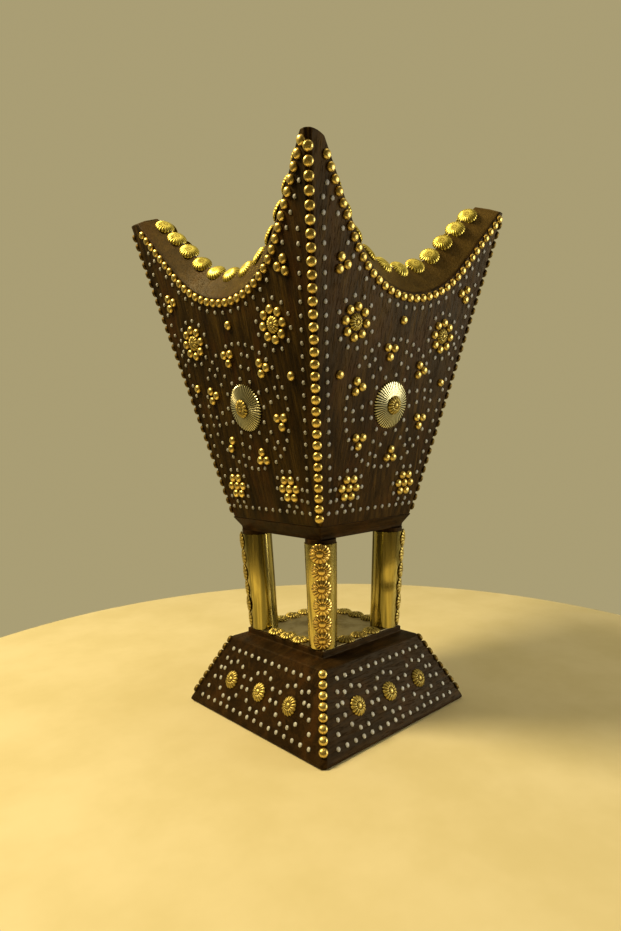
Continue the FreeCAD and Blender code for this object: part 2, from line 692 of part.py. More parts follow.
block = tapered(LINER_FLOOR, LINER_TOP, size("liner_play"))
hollow = tapered(
    LINER_FLOOR + size("liner_sheet"), LINER_TOP + size("overrun"),
    size("liner_play") + size("liner_sheet"),
)
lining = block.cut([hollow] + [scoop_cutter(quarter) for quarter in range(4)]).Solids[0]
set_shape("cup_liner", lining)


# Tacks, pins and stamped pieces, each turned from half its outline.

def size_of(rule):
    """The value of a rule such as Sizes.tack_dia / 2."""
    return float(sheet.evalExpression(rule)) if rule else 0.0


def turned(label, points):
    """A body revolved from half a profile of straight lines."""
    body = new_body(label)
    sketch = new_sketch(body, label + "_profile", "XZ_Plane")
    count = len(points)
    lines = []
    for index in range(count):
        start = Vector(*[size_of(value) for value in points[index]], 0)
        end = Vector(*[size_of(value) for value in points[(index + 1) % count]], 0)
        lines.append(sketch.addGeometry(Part.LineSegment(start, end), False))
    for index in range(count):
        after = lines[(index + 1) % count]
        sketch.addConstraint(Sketcher.Constraint("Coincident", lines[index], 2, after, 1))
    for index, (across, up) in enumerate(points):
        for axis, rule in (("DistanceX", across), ("DistanceY", up)):
            value = size_of(rule)
            constraint = Sketcher.Constraint(axis, -1, 1, lines[index], 1, value)
            if rule:
                bind(sketch, constraint, rule)
            else:
                on_axis = -2 if axis == "DistanceX" else -1
                sketch.addConstraint(Sketcher.Constraint("PointOnObject", lines[index], 1, on_axis))
    revolution = body.newObject("PartDesign::Revolution", label + "_turned")
    revolution.Profile = sketch
    revolution.ReferenceAxis = (sketch, ["V_Axis"])
    revolution.Angle = 360
    return body


def domed(label, name):
    """A round head with an upright skirt and a low dome in three facets."""
    half, rise, skirt = f"Sizes.{name}_dia / 2", f"Sizes.{name}_height", f"Sizes.{name}_skirt"
    points = [("", ""), (half, ""), (half, skirt)]
    for angle in (30, 60):
        across = f"{half} * cos({angle})"
        up = f"{skirt} + ({rise} - {skirt}) * sin({angle})"
        points.append((across, up))
    points.append(("", rise))
    return turned(label, points)


tack = domed("tack_pattern", "tack")
pin = domed("pin_pattern", "pin")
daisy = domed("daisy_pattern", "daisy")
boss_daisy = domed("boss_daisy_pattern", "boss_daisy")
rim_daisy = domed("rim_daisy_pattern", "rim_daisy")
rosette = turned(
    "rosette_pattern",
    [
        ("", ""),
        ("Sizes.rosette_dia / 2", ""),
        ("Sizes.rosette_dia / 2", "Sizes.rosette_edge"),
        ("Sizes.rosette_flat_dia / 2", "Sizes.rosette_height"),
        ("", "Sizes.rosette_height"),
    ],
)
doc.recompute()


# Where they go.

def even(length, step):
    """Evenly spaced distances from end to end, as near to the step as fits."""
    gaps = max(1, round(length / step))
    return [length * index / gaps for index in range(gaps + 1)]


def ring(centre, radius, count, turn=0.0):
    points = []
    for index in range(count):
        angle = radians(turn) + 2 * pi * index / count
        points.append((centre[0] + radius * cos(angle), centre[1] + radius * sin(angle)))
    return points


def scoop_row(inset, step, top, slide=0.0):
    """Places along a scoop's outer edge, from horn to horn."""
    half = outer_scoop.row(inset, top)
    return [outer_scoop.point(distance - half + slide, inset) for distance in even(2 * half, step)]


def mirrored(points):
    return points + [(-x, y) for x, y in points]


def clear_of(points, others, gap):
    """The points that are at least a gap away from all the others."""
    kept = []
    for x, y in points:
        if all(hypot(x - a, y - b) >= gap for a, b in others):
            kept.append((x, y))
    return kept


def pattern_centres(drift):
    """Middles of the bosses, the rosette and the petals' trefoils on one side of the cup."""
    middle = (drift, size("rosette_up"))
    return {
        "middle": middle,
        "high": [(drift + side * size("high_boss_out"), size("high_boss_up")) for side in (-1, 1)],
        "low": [(drift + side * size("low_boss_out"), size("low_boss_up")) for side in (-1, 1)],
        "horns": [(drift + side * size("horn_trefoil_out"), size("horn_trefoil_up")) for side in (-1, 1)],
        "petals": ring(middle, size("petal_tack"), PETALS, PETAL_TURN),
    }


def face_tacks(centres, drift, quarter_name):
    """Round tacks of the bosses and trefoils, and the single ones."""
    points = []
    for centre in centres["high"]:
        points += ring(centre, size("high_boss_ring"), HIGH_BOSS_TACKS, 90)
    for centre in centres["low"]:
        points += [centre] + ring(centre, size("low_boss_ring"), LOW_BOSS_TACKS, 0)
    for index, centre in enumerate(centres["petals"]):
        trefoil = ring(centre, size("trefoil_radius"), 3, TREFOIL_POINTS[index])
        if MISSING_TACK == (quarter_name, index):
            trefoil.pop()
        points += trefoil
    for centre, turn in zip(centres["horns"], (0, 180)):
        points += ring(centre, size("trefoil_radius"), 3, turn)
    points.append((drift, size("high_tack_up")))
    points += [(drift + side * size("side_tack_out"), size("side_tack_up")) for side in (-1, 1)]
    return points


def petal_pins(middle):
    """Pins of the petals: a ring round them all and a straight row down each petal's side."""
    radius = size("petal_ring")
    points = ring(middle, radius, round(2 * pi * radius / size("petal_step")), PETAL_TURN)
    length = radius - size("petal_step") - size("petal_start")
    for index in range(PETALS):
        angle = radians(PETAL_TURN) + 2 * pi * (index + 1 / 2) / PETALS
        for out in even(length, size("petal_step")):
            share = out / length
            aside = size("petal_side") + (size("petal_side_narrow") - size("petal_side")) * share
            reach = size("petal_start") + out
            for side in (-1, 1):
                x = middle[0] + reach * cos(angle) - side * aside * sin(angle)
                y = middle[1] + reach * sin(angle) + side * aside * cos(angle)
                points.append((x, y))
    return points


def cup_pins(centres, tacks):
    """All the steel pins on one side of the cup."""
    rim = scoop_row(size("rim_pin_inset"), size("rim_pin_step"), BOARD_RISE - size("rim_pin_top"))
    high = BOARD_RISE - size("side_pin_top")
    up = even(high - size("side_pin_first"), size("side_pin_step"))
    rises = [size("side_pin_first") + value for value in up]
    sides = mirrored([(cup_half(rise) - size("side_pin_inset"), rise) for rise in rises])
    sides = clear_of(sides, rim, size("tack_dia"))
    half = cup_half(size("foot_pin_height")) - size("foot_pin_inset")
    foot = [(across - half, size("foot_pin_height")) for across in even(2 * half, size("foot_pin_step"))]
    bosses = []
    for centre in centres["high"]:
        bosses += ring(centre, size("high_boss_pins"), HIGH_BOSS_PINS, 15)
    for centre in centres["low"]:
        bosses += ring(centre, size("low_boss_pins"), LOW_BOSS_PINS, 0)
    border = rim + sides + foot
    gap = (size("tack_dia") + size("pin_dia")) / 2 + size("pin_height")
    inner = clear_of(petal_pins(centres["middle"]), bosses, size("pin_dia") + size("pin_height"))
    return clear_of(border, tacks, gap) + clear_of(
        clear_of(bosses + inner, tacks, gap), border, size("pin_dia") + size("pin_height")
    )


def rim_daisy_places():
    """Frames of the large embossed tacks, nailed over the rim's inner edge and leaning in over the cup."""
    top = INNER_RISE - size("rim_daisy_top")
    half = inner_scoop.row(0, top)
    arc = inner_scoop.radius * inner_scoop.flank
    outer_arc = outer_scoop.radius * outer_scoop.flank
    outer_half = outer_scoop.row(0, BOARD_RISE - size("rim_daisy_top"))
    places = []
    for distance in even(2 * half, size("rim_daisy_step")):
        along = distance - half
        side = -1 if along < 0 else 1
        if abs(along) < arc:
            across = outer_arc * along / arc
        else:
            across = side * (outer_arc + (outer_half - outer_arc) * (abs(along) - arc) / (half - arc))
        inner = Vector(*inner_scoop.point(along), -size("board"))
        outer = Vector(*outer_scoop.point(across), 0)
        ahead = Vector(*inner_scoop.point(along + size("pin_dia")), -size("board"))
        outwards = (outer - inner).normalize()
        forwards = (ahead - inner).normalize()
        upright = outwards.cross(forwards).normalize()
        place = inner + outwards * size("rim_daisy_inset") - upright * size("rim_daisy_sink")
        share = min(1, abs(along) / arc)
        tilt = radians(size("rim_daisy_low_tilt") * (1 - share) + size("rim_daisy_tilt") * share)
        leaning = upright * cos(tilt) - outwards * sin(tilt)
        places.append(Placement(place, Rotation(Vector(0, 0, 1), leaning)))
    return places


def make_rim_daisies():
    """The large embossed tacks of one scoop, hammered down so that they follow the wood and the lining."""
    sheet_metal = lining.copy()
    sheet_metal.Placement = cup_side(0).inverse()
    heads = []
    for place in rim_daisy_places():
        head = rim_daisy.Shape.copy()
        head.Placement = place
        pieces = head.cut(board).cut(sheet_metal).Solids
        heads.append(max(pieces, key=lambda solid: solid.Volume))
    return Part.makeCompound(heads)


bent_rim_daisies = make_rim_daisies()
rosette_daisy_places = []
for quarter, name in enumerate(QUARTERS):
    frame = cup_side(quarter)
    drift = DRIFT_SHARES[quarter] * size("pattern_drift")
    centres = pattern_centres(drift)
    tacks = face_tacks(centres, drift, name)
    rim_top = BOARD_RISE - size("rim_tack_top")
    rim_tacks = scoop_row(size("rim_tack_inset"), size("rim_tack_step"), rim_top, size("rim_tack_slide"))
    scatter("rim_tacks_" + name, tack, flat_places(rim_tacks), frame)
    set_shape("rim_daisies_" + name, bent_rim_daisies.copy(), frame)
    scatter("face_tacks_" + name, tack, flat_places(tacks), frame)
    scatter("rosette_" + name, rosette, flat_places([centres["middle"]]), frame)
    on_rosette = Placement(Vector(*centres["middle"], size("rosette_height")), Rotation())
    rosette_daisy_places.append(frame * on_rosette)
    scatter("face_daisies_" + name, boss_daisy, flat_places(centres["high"]), frame)
    scatter("cup_pins_" + name, pin, flat_places(cup_pins(centres, tacks + rim_tacks)), frame)
scatter("rosette_daisies", daisy, rosette_daisy_places)

corner_rows = CORNER_RISE - size("corner_tack_first") - size("corner_tack_top")
column = [(0, size("corner_tack_first") + up) for up in even(corner_rows, size("corner_tack_step"))]
for index, corner in enumerate(CORNERS):
    scatter("cup_corner_tacks_" + corner, tack, flat_places(column), cup_corner(index))


# Fittings on the base.

BASE_SLOPE = size("base_rise") / cos(atan(TAPER))
BASE_CORNER = size("base_rise") * sqrt(1 + 2 * TAPER**2)
# the flat is planed by the same distance along both faces, square to the corner
FLAT_SETBACK = size("base_corner_flat") * sqrt(1 + 2 * TAPER**2) / sqrt(1 + TAPER**2)


def base_corner(index):
    reach = sqrt(2) * (BASE_HALF - FLAT_SETBACK / 2)
    return seat(90 * index - 45, reach, 0, -atan(sqrt(2) * TAPER))


def base_pins():
    """The two rows, the columns beside the corners and the rings of pins on one side of the base."""
    points = []
    for up in (size("base_row_low"), size("base_row_high")):
        half = base_half(up) - size("base_row_inset")
        points += [(across - half, up) for across in even(2 * half, size("base_row_step"))]
    rings = []
    for side in (-1, 0, 1):
        centre = (side * size("base_daisy_out"), size("base_daisy_up"))
        rings += ring(centre, size("base_ring"), BASE_RING_PINS, 90)
    gap = size("pin_dia") + size("pin_height")
    clear = []
    for point in rings:
        clear += clear_of([point], clear, gap)
    low, high = size("base_row_low"), size("base_row_high")
    ups = even(high - low, size("base_side_pin_step"))[1:-1]
    column = [(base_half(low + up) - size("base_row_inset"), low + up) for up in ups]
    return points + clear + clear_of(mirrored(column), clear, gap)


base_column_length = BASE_CORNER - size("base_tack_first") - size("base_tack_top")
count = int(base_column_length / size("base_tack_step")) + 1
base_column = [(0, size("base_tack_first") + index * size("base_tack_step")) for index in range(count)]
base_daisy_places = []
for quarter, name in enumerate(QUARTERS):
    scatter("base_pins_" + name, pin, flat_places(base_pins()), base_side(quarter))
    for side in (-1, 0, 1):
        place = Vector(side * size("base_daisy_out"), size("base_daisy_up"), 0)
        base_daisy_places.append(base_side(quarter) * Placement(place, Rotation()))
scatter("base_daisies", daisy, base_daisy_places)
for index, corner in enumerate(CORNERS):
    scatter("base_corner_tacks_" + corner, tack, flat_places(base_column), base_corner(index))

plate_places = []
edge = size("plate_side") / 2 - size("plate_daisy_inset")
for quarter in range(4):
    turn = Placement(Vector(), Rotation(Vector(0, 0, 1), 90 * quarter))
    for side in (-1, 0, 1):
        place = Vector(side * size("plate_daisy_step"), -edge, PLATE_TOP)
        plate_places.append(turn * Placement(place, Rotation()))
scatter("plate_daisies", daisy, plate_places)


# Checks and files.

doc.recompute()
PATTERNS = tuple(
    name + "_pattern" for name in ("tack", "pin", "daisy", "boss_daisy", "rim_daisy", "rosette")
)
broken = [item.Name for item in doc.Objects if set(item.State) & {"Invalid", "Error"}]
if broken:
    raise RuntimeError(f"failed objects: {broken}")

nodes = []
for item in doc.Objects:
    if item.TypeId in ("PartDesign::Body", "Part::Feature") and item.Label not in PATTERNS:
        if item.Shape.isNull() or not item.Shape.isValid():
            raise RuntimeError(f"{item.Label} has no valid shape")
        nodes.append(item)

os.makedirs("parts", exist_ok=True)
for item in nodes:
    item.Shape.exportStep(f"parts/{item.Label}.step")
print(len(nodes), "nodes written")
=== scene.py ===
# %% [markdown]
# A four-horned mabkhara, an incense burner of dark wood on four brass-sleeved legs, studded with brass
# tacks, stamped daisies and small steel pins. The solids come from CAD and stay where they are. This
# lesson dresses them: each fitting is modelled once at its real size, then set out where the CAD put it.

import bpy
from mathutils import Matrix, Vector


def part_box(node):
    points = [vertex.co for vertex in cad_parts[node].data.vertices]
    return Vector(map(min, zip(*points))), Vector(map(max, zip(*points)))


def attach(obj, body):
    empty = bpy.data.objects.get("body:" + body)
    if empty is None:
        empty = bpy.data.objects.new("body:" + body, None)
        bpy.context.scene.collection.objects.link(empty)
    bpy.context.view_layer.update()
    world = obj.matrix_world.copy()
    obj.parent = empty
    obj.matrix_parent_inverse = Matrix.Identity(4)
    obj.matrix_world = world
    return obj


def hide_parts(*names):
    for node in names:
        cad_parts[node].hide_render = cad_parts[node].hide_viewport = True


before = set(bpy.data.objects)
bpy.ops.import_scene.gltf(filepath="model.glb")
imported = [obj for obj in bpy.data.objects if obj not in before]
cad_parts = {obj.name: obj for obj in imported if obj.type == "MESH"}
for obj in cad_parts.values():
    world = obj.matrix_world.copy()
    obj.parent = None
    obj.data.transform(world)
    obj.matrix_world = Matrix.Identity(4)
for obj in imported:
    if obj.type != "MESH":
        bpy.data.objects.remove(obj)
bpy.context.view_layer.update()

import math
import random
from collections import namedtuple

import bpy
import numpy as np
from mathutils import Matrix, Vector

MM = 0.001
QUARTERS = ("front", "right", "back", "left")
CORNERS = ("front_left", "front_right", "back_right", "back_left")
# the tacks and leg daisies at these two side corners are painted duller, as painted shade
SHADED_SIDE_CORNERS = ("front_right", "back_left")
chance = random.Random(4)
print("solid parts:", len(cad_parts))

# %% [markdown]
# The camera comes first, because it fixes what the picture shows. It looks at one corner of the burner
# from a little above the middle, 40 cm away, and leans by about a degree as a hand-held one does. Its
# place and turns were solved from the corners of the object, so they are typed in as they came out.

# %% The camera
EYE = Vector((-0.275004, -0.286695, 0.170836))
YAW, DIP, ROLL = math.radians(45) + 0.037, 0.043, -0.023
LENS, SENSOR = 23.68, 36

forward = Vector((math.cos(YAW) * math.cos(DIP), math.sin(YAW) * math.cos(DIP), -math.sin(DIP)))
level = Vector((math.sin(YAW), -math.cos(YAW), 0))
upright = level.cross(forward)
camera_x = level * math.cos(ROLL) + upright * math.sin(ROLL)
camera_y = upright * math.cos(ROLL) - level * math.sin(ROLL)
turn = Matrix((camera_x, camera_y, -forward)).transposed()

camera_data = bpy.data.cameras.new("camera")
camera_data.lens = LENS
camera_data.sensor_width = SENSOR
camera = bpy.data.objects.new("camera", camera_data)
camera.matrix_world = Matrix.Translation(EYE) @ turn.to_4x4()
bpy.context.scene.collection.objects.link(camera)
bpy.context.scene.camera = camera
print("camera", [round(value, 3) for value in camera.location])

# %% [markdown]
# Operators act on whatever is selected, so every step starts from a clean selection. Corners are chosen
# by where they are, never by their number, so a step still works when the shape before it changes.

# %% Selecting
def deselect():
    if bpy.context.object and bpy.context.object.mode == "EDIT":
        bpy.ops.object.mode_set(mode="OBJECT")
    bpy.ops.object.select_all(action="DESELECT")


def work_on(piece):
    deselect()
    piece.select_set(True)
    bpy.context.view_layer.objects.active = piece


def pick(piece, test):
    """Opens edit mode with only the corners selected whose place passes a test."""
    work_on(piece)
    bpy.context.tool_settings.mesh_select_mode = (True, False, False)
    mesh = piece.data
    for items in (mesh.edges, mesh.polygons):
        items.foreach_set("select", [False] * len(items))
    mesh.vertices.foreach_set("select", [bool(test(vertex.co)) for vertex in mesh.vertices])
    bpy.ops.object.mode_set(mode="EDIT")


def smooth(piece, angle):
    work_on(piece)
    bpy.ops.object.shade_smooth_by_angle(angle=math.radians(angle))


def thicken(piece, thickness):
    """Gives a single sheet its thickness, on the inner side."""
    sheet = piece.modifiers.new("sheet", "SOLIDIFY")
    sheet.thickness = thickness
    sheet.offset = -1
    work_on(piece)
    bpy.ops.object.modifier_apply(modifier="sheet")
    smooth(piece, 40)


def finished(piece, name, slot, finish, *nodes):
    """Names a piece, gives it its finish, hides the solids it stands for and hangs it on the root body."""
    piece.name = piece.data.name = name
    piece.data.materials.clear()
    piece.data.materials.append(finish)
    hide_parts(*nodes)
    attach(piece, "root")


# %% [markdown]
# A finish is a small network of shader nodes. Writing it as ordinary sums keeps it readable, so one class
# stands for a socket's value and knows + - * and /, and another builds the nodes and the final shader.

# %% Shader sums
class Wire:
    """The value that leaves one socket."""

    def __init__(self, finish, socket):
        self.finish = finish
        self.socket = socket

    def sum(self, operation, *terms):
        return self.finish.node("ShaderNodeMath", {"operation": operation}, dict(enumerate(terms)))

    def __add__(self, other):
        return self.sum("ADD", self, other)

    def __sub__(self, other):
        return self.sum("SUBTRACT", self, other)

    def __rsub__(self, other):
        return self.sum("SUBTRACT", other, self)

    def __mul__(self, other):
        return self.sum("MULTIPLY", self, other)

    def __truediv__(self, other):
        return self.sum("DIVIDE", self, other)

    __radd__ = __add__
    __rmul__ = __mul__


class Finish:
    """A material, or the room's own light, built node by node round its one shader."""

    def __init__(self, owner):
        owner.use_nodes = True
        self.owner = owner
        self.tree = owner.node_tree
        self.shader = next(node for node in self.tree.nodes if node.inputs and "Output" not in node.name)

    def node(self, kind, settings=None, inputs=None, output=0):
        """Adds a node: its settings first, then the values or links of its sockets."""
        made = self.tree.nodes.new(kind)
        for key, value in (settings or {}).items():
            if key == "stops":
                # a new ramp has two stops already
                ramp = made.color_ramp
                for index, (place, colour) in enumerate(value):
                    stop = ramp.elements[index] if index < 2 else ramp.elements.new(place)
                    stop.position = place
                    stop.color = (*colour, 1)
            else:
                setattr(made, key, value)
        self.feed(made, inputs or {})
        return Wire(self, made.outputs[output])

    def feed(self, made, inputs):
        for socket, value in inputs.items():
            if isinstance(value, Wire):
                self.tree.links.new(value.socket, made.inputs[socket])
            else:
                made.inputs[socket].default_value = value

    def surface(self, **sockets):
        """The shader's sockets, by their names with _ for a space."""
        self.feed(self.shader, {key.replace("_", " "): value for key, value in sockets.items()})
        return self.owner

    def places(self, turn=(0, 0, 0), shift=(0, 0, 0)):
        """Where each point of the piece is, in metres, turned to follow a board."""
        here = self.node("ShaderNodeTexCoord", output=3)
        return self.node("ShaderNodeMapping", {}, {"Vector": here, "Rotation": turn, "Location": shift})

    def stretched(self, places, scale):
        return self.node("ShaderNodeVectorMath", {"operation": "MULTIPLY"}, {0: places, 1: scale})

    def axes(self, places):
        split = self.node("ShaderNodeSeparateXYZ", {}, {0: places})
        outputs = split.socket.node.outputs
        return [Wire(self, outputs[index]) for index in range(3)]

    def noise(self, places, scale, detail, roughness, distortion=0.0):
        return self.node(
            "ShaderNodeTexNoise", {},
            {"Vector": places, "Scale": scale, "Detail": detail, "Roughness": roughness,
             "Distortion": distortion},
        )

    def ease(self, value, low, high, start=0.0, end=1.0):
        """Slides from start to end as the value goes from low to high."""
        return self.node(
            "ShaderNodeMapRange", {"interpolation_type": "SMOOTHSTEP"},
            {"Value": value, "From Min": low, "From Max": high, "To Min": start, "To Max": end},
        )

    def mix(self, share, first, second):
        """Two colours mixed by a share."""
        # this node serves numbers too: the colours go in at sockets 6 and 7 and come out at 2
        paint = [value if isinstance(value, Wire) else (*value, 1) for value in (first, second)]
        return self.node(
            "ShaderNodeMix", {"data_type": "RGBA"}, {0: share, 6: paint[0], 7: paint[1]}, output=2
        )

    def bump(self, height, distance, strength=0.5):
        return self.node(
            "ShaderNodeBump", {}, {"Height": height, "Distance": distance, "Strength": strength}
        )

    def attribute(self, name):
        """A number stored on the piece's own corners."""
        return self.node("ShaderNodeAttribute", {"attribute_name": name}, output=2)


# %% [markdown]
# The wood is dark and open-grained, with the grain running up each board. Three noises stretched along
# the grain give broad bands, fine fibres and short dark pores. Of two softer ones, one evens the tone out
# in places and the other gives the reddish and the nearly black patches. Each board's pattern is turned
# by the lean of the board, because noise that is stretched straight up would drift off a leaning face.

# %% Dark wood
DARK_TONES = ((0.0068, 0.0033, 0.0005), (0.027, 0.0148, 0.0024), (0.086, 0.051, 0.010))
BASE_TONES = ((0.008, 0.0036, 0.0008), (0.026, 0.0125, 0.003), (0.062, 0.033, 0.010))
# the front board's paler tones are painted light: more light falls on that side
LIT_FRONT_TONES = ((0.0090, 0.0045, 0.0010), (0.044, 0.0230, 0.0052), (0.120, 0.070, 0.0170))
# the rims' pale colours stand for wear and for painted light from above
WORN_AND_LIT_DARK, WORN_AND_LIT_PALE = (0.062, 0.038, 0.007), (0.255, 0.162, 0.044)
RED_HEART = (0.062, 0.024, 0.0045)
SHEEN_TINT = (1.0, 0.78, 0.45, 1.0)
BANDS, FIBRES, PORES, BLOTCHES, CLOUDS = 190, 1100, 2200, 26, 55
BAND_LENGTH_SHARE, FIBRE_LENGTH_SHARE, CLOUD_LENGTH_SHARE = 0.11, 0.08, 0.45


def along_grain(axis, share):
    """The scale that draws a pattern out along one axis."""
    scale = [1.0, 1.0, 1.0]
    scale[axis] = share
    return scale


def wood(name, turn, shift, along, tones, rim_paleness=None, knotty=False, relief=0.2 * MM):
    """An optional function says where the wood is painted pale, for wear and as painted light."""
    finish = Finish(bpy.data.materials.new(name))
    places = finish.places(turn, shift)
    if knotty:
        places = bent_round_knot(finish, places)
    fine = finish.stretched(places, along_grain(along, FIBRE_LENGTH_SHARE))
    bands = finish.noise(
        finish.stretched(places, along_grain(along, BAND_LENGTH_SHARE)), BANDS, 3, 0.55, 0.9
    )
    fibres = finish.noise(fine, FIBRES, 3, 0.6)
    pores = finish.ease(finish.noise(fine, PORES, 1, 0.5), 0.55, 0.66)
    blotches = finish.noise(places, BLOTCHES, 2, 0.5)
    clouds = finish.noise(finish.stretched(places, (1.0, 1.0, CLOUD_LENGTH_SHARE)), CLOUDS, 4, 0.6, 0.6)
    dark, middle, pale = tones
    colour = finish.node(
        "ShaderNodeValToRGB", {"stops": [(0.38, dark), (0.66, pale), (0.5, middle)]},
        {0: bands * 0.55 + fibres * 0.45},
    )
    colour = finish.mix(finish.ease(blotches, 0.35, 0.7) * 0.35, colour, middle)
    colour = finish.mix(finish.ease(clouds, 0.50, 0.68) * 0.5, colour, RED_HEART)
    colour = finish.mix(finish.ease(clouds, 0.5, 0.32) * 0.55, colour, dark)
    colour = finish.mix(pores * 0.6, colour, dark)
    # the rims are painted paler, for wear and as painted light from above
    if rim_paleness:
        colour = finish.mix(rim_paleness(finish), colour, finish.mix(fibres, WORN_AND_LIT_DARK, WORN_AND_LIT_PALE))
    height = fibres * 0.5 + bands * 0.2 - pores * 0.9
    return finish.surface(
        Base_Color=colour, Roughness=finish.ease(fibres + pores * 0.3, 0.3, 0.9, 0.45, 0.66),
        Normal=finish.bump(height, relief, 0.6), Specular_IOR_Level=0.11, Specular_Tint=SHEEN_TINT,
    )


# %% [markdown]
# The front board has a knot low on its right. Fibres part round the foot of a branch. To show them pushed
# aside, each point reads the pattern from nearer to the knot's middle line, by a share that fades out.

# %% The knot
KNOT_X, KNOT_Z = 17 * MM, 162 * MM
KNOT_WIDTH = 11 * MM
KNOT_PUSH_SHARE, KNOT_HEIGHT_SHARE = 0.85, 0.3
FALLOFF = 2.718


def bent_round_knot(finish, places):
    x, y, z = finish.axes(places)
    across, up = x - KNOT_X, z - KNOT_Z
    spread = (across * across + up * up * KNOT_HEIGHT_SHARE) / (KNOT_WIDTH * KNOT_WIDTH)
    share = finish.node("ShaderNodeMath", {"operation": "POWER"}, {0: FALLOFF, 1: spread * -1.0})
    moved = x - across * share * KNOT_PUSH_SHARE
    return finish.node("ShaderNodeCombineXYZ", {}, {0: moved, 1: y, 2: z})


# %% [markdown]
# Each board's outer face leans outwards. Its foot and its tips are read from the solid, which gives how
# deep any point lies under that face. The rim begins where the depth does. It is cut across the board and
# rubbed by hands, and it faces the light from above, so it is painted paler, for wear and as painted light.
# The left one lies in shade, so it is painted less pale, as painted shade.

# %% How the boards lean
def points_of(node):
    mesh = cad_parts[node].data
    flat = np.empty(len(mesh.vertices) * 3, np.float32)
    mesh.vertices.foreach_get("co", flat)
    return flat.reshape(-1, 3).astype(float)


NEAR = 0.1 * MM
front_points = points_of("cup_wall_front")
CUP_LOW = float(front_points[:, 2].min())
foot_points = front_points[front_points[:, 2] < CUP_LOW + NEAR]
HALF_LOW = float(-foot_points[:, 1].min())
HALF_HIGH = float(-front_points[:, 1].min())
tip_points = front_points[front_points[:, 1] < -HALF_HIGH + NEAR]
TIP_HEIGHT = float(tip_points[:, 2].max())
FLARE = (HALF_HIGH - HALF_LOW) / (TIP_HEIGHT - CUP_LOW)
LEAN = math.atan(FLARE)
# for each side: the axis that points out of it, which way, and the turn that sets its boards upright
SIDES = {
    "front": (1, -1, (-LEAN, 0, 0)), "right": (0, 1, (0, -LEAN, 0)),
    "back": (1, 1, (LEAN, 0, 0)), "left": (0, -1, (0, LEAN, 0)),
}
# how pale each rim is painted, for wear and as painted light; the left rim, in shade, less so, as painted
# shade
WORN_AND_LIT_SHARE, LEFT_WORN_AND_SHADED_SHARE = 0.95, 0.36
print("boards lean by", round(math.degrees(LEAN), 2), "degrees")


def rim_wear_and_light(quarter):
    """How pale a point is painted, for wear and as painted light from above: the scooped rim and the horn's
    top, from just under the outer face inwards.
    """
    axis, sense, _ = SIDES[quarter]
    # the left rim lies in shade, so it is painted less pale, as painted shade
    worn_and_lit = LEFT_WORN_AND_SHADED_SHARE if quarter == "left" else WORN_AND_LIT_SHARE

    def share(finish):
        here = finish.places()
        spread = finish.axes(here)
        depth = (spread[2] - CUP_LOW) * FLARE + HALF_LOW - spread[axis] * sense
        patches = finish.ease(finish.noise(here, 60, 3, 0.6), 0.2, 0.75, worn_and_lit * 0.4, worn_and_lit)
        return finish.ease(depth, 0.3 * MM, 1.6 * MM) * patches

    return share


# %% [markdown]
# Every board comes from a plank of its own, so each reads its pattern from another place. The front one
# is painted in paler tones, as painted light on the side the light falls on. The base, the foot of the cup
# and the posts are of plainer wood.

# %% The planks
PLANK_STEP = (0.3, 0.17, 0.05)
board_finish = {}
for index, quarter in enumerate(QUARTERS):
    in_front = quarter == "front"
    board_finish[quarter] = wood(
        "wood_" + quarter, SIDES[quarter][2], [step * index for step in PLANK_STEP], 2,
        LIT_FRONT_TONES if in_front else DARK_TONES, rim_wear_and_light(quarter), in_front,
    )
base_finish = wood("wood_base", (0, 0, 0), (0.7, 0.2, 0.1), 0, BASE_TONES, relief=0.1 * MM)
floor_finish = wood("wood_cup_floor", (0, 0, 0), (0.1, 0.9, 0.4), 0, BASE_TONES)
post_finish = wood("wood_post", (0, 0, 0), (0.5, 0.5, 0.2), 2, BASE_TONES)
print("boards with a finish of their own:", len(board_finish))

# %% [markdown]
# Tacks, daisies, rosettes and pins share one kind of finish. It goes from a dark colour to that of a crest,
# by a number stored on each corner and called relief. In the grooves of daisies and rosettes the dark colour
# is the dirt that hollows keep; low on tacks and pins it is painted shade, and on the tacks' crowns a
# painted reflection. Every copy also carries a tone of its own, so that no two tacks are quite alike.

# %% Stamped and polished metal
def stamped(name, crest, dirt_and_shade, roughness, low, high, metal=1.0):
    """The relief at which the dark colour ends is low, and the crest's begins at high."""
    finish = Finish(bpy.data.materials.new(name))
    relief, tone = finish.attribute("relief"), finish.attribute("tone")
    stains = finish.noise(finish.places(), 900, 3, 0.6)
    shade = finish.mix(finish.ease(relief, low, high), dirt_and_shade, crest)
    shade = finish.mix(finish.ease(tone, 0, 1, 0.0, 0.3), shade, dirt_and_shade)
    shade = finish.mix(finish.ease(stains, 0.55, 0.8, 0.0, 0.3), shade, dirt_and_shade)
    rough = finish.ease(relief + stains * 0.6, 0.2, 1.3, roughness + 0.2, roughness)
    return finish.surface(
        Base_Color=shade, Roughness=rough, Metallic=metal, Normal=finish.bump(stains, 0.06 * MM)
    )


tack_finish = stamped("tack_brass", (0.91, 0.72, 0.25), (0.30, 0.17, 0.025), 0.33, 0.0, 0.60)
daisy_finish = stamped("daisy_brass", (0.66, 0.54, 0.17), (0.11, 0.06, 0.010), 0.43, 0.05, 0.65)
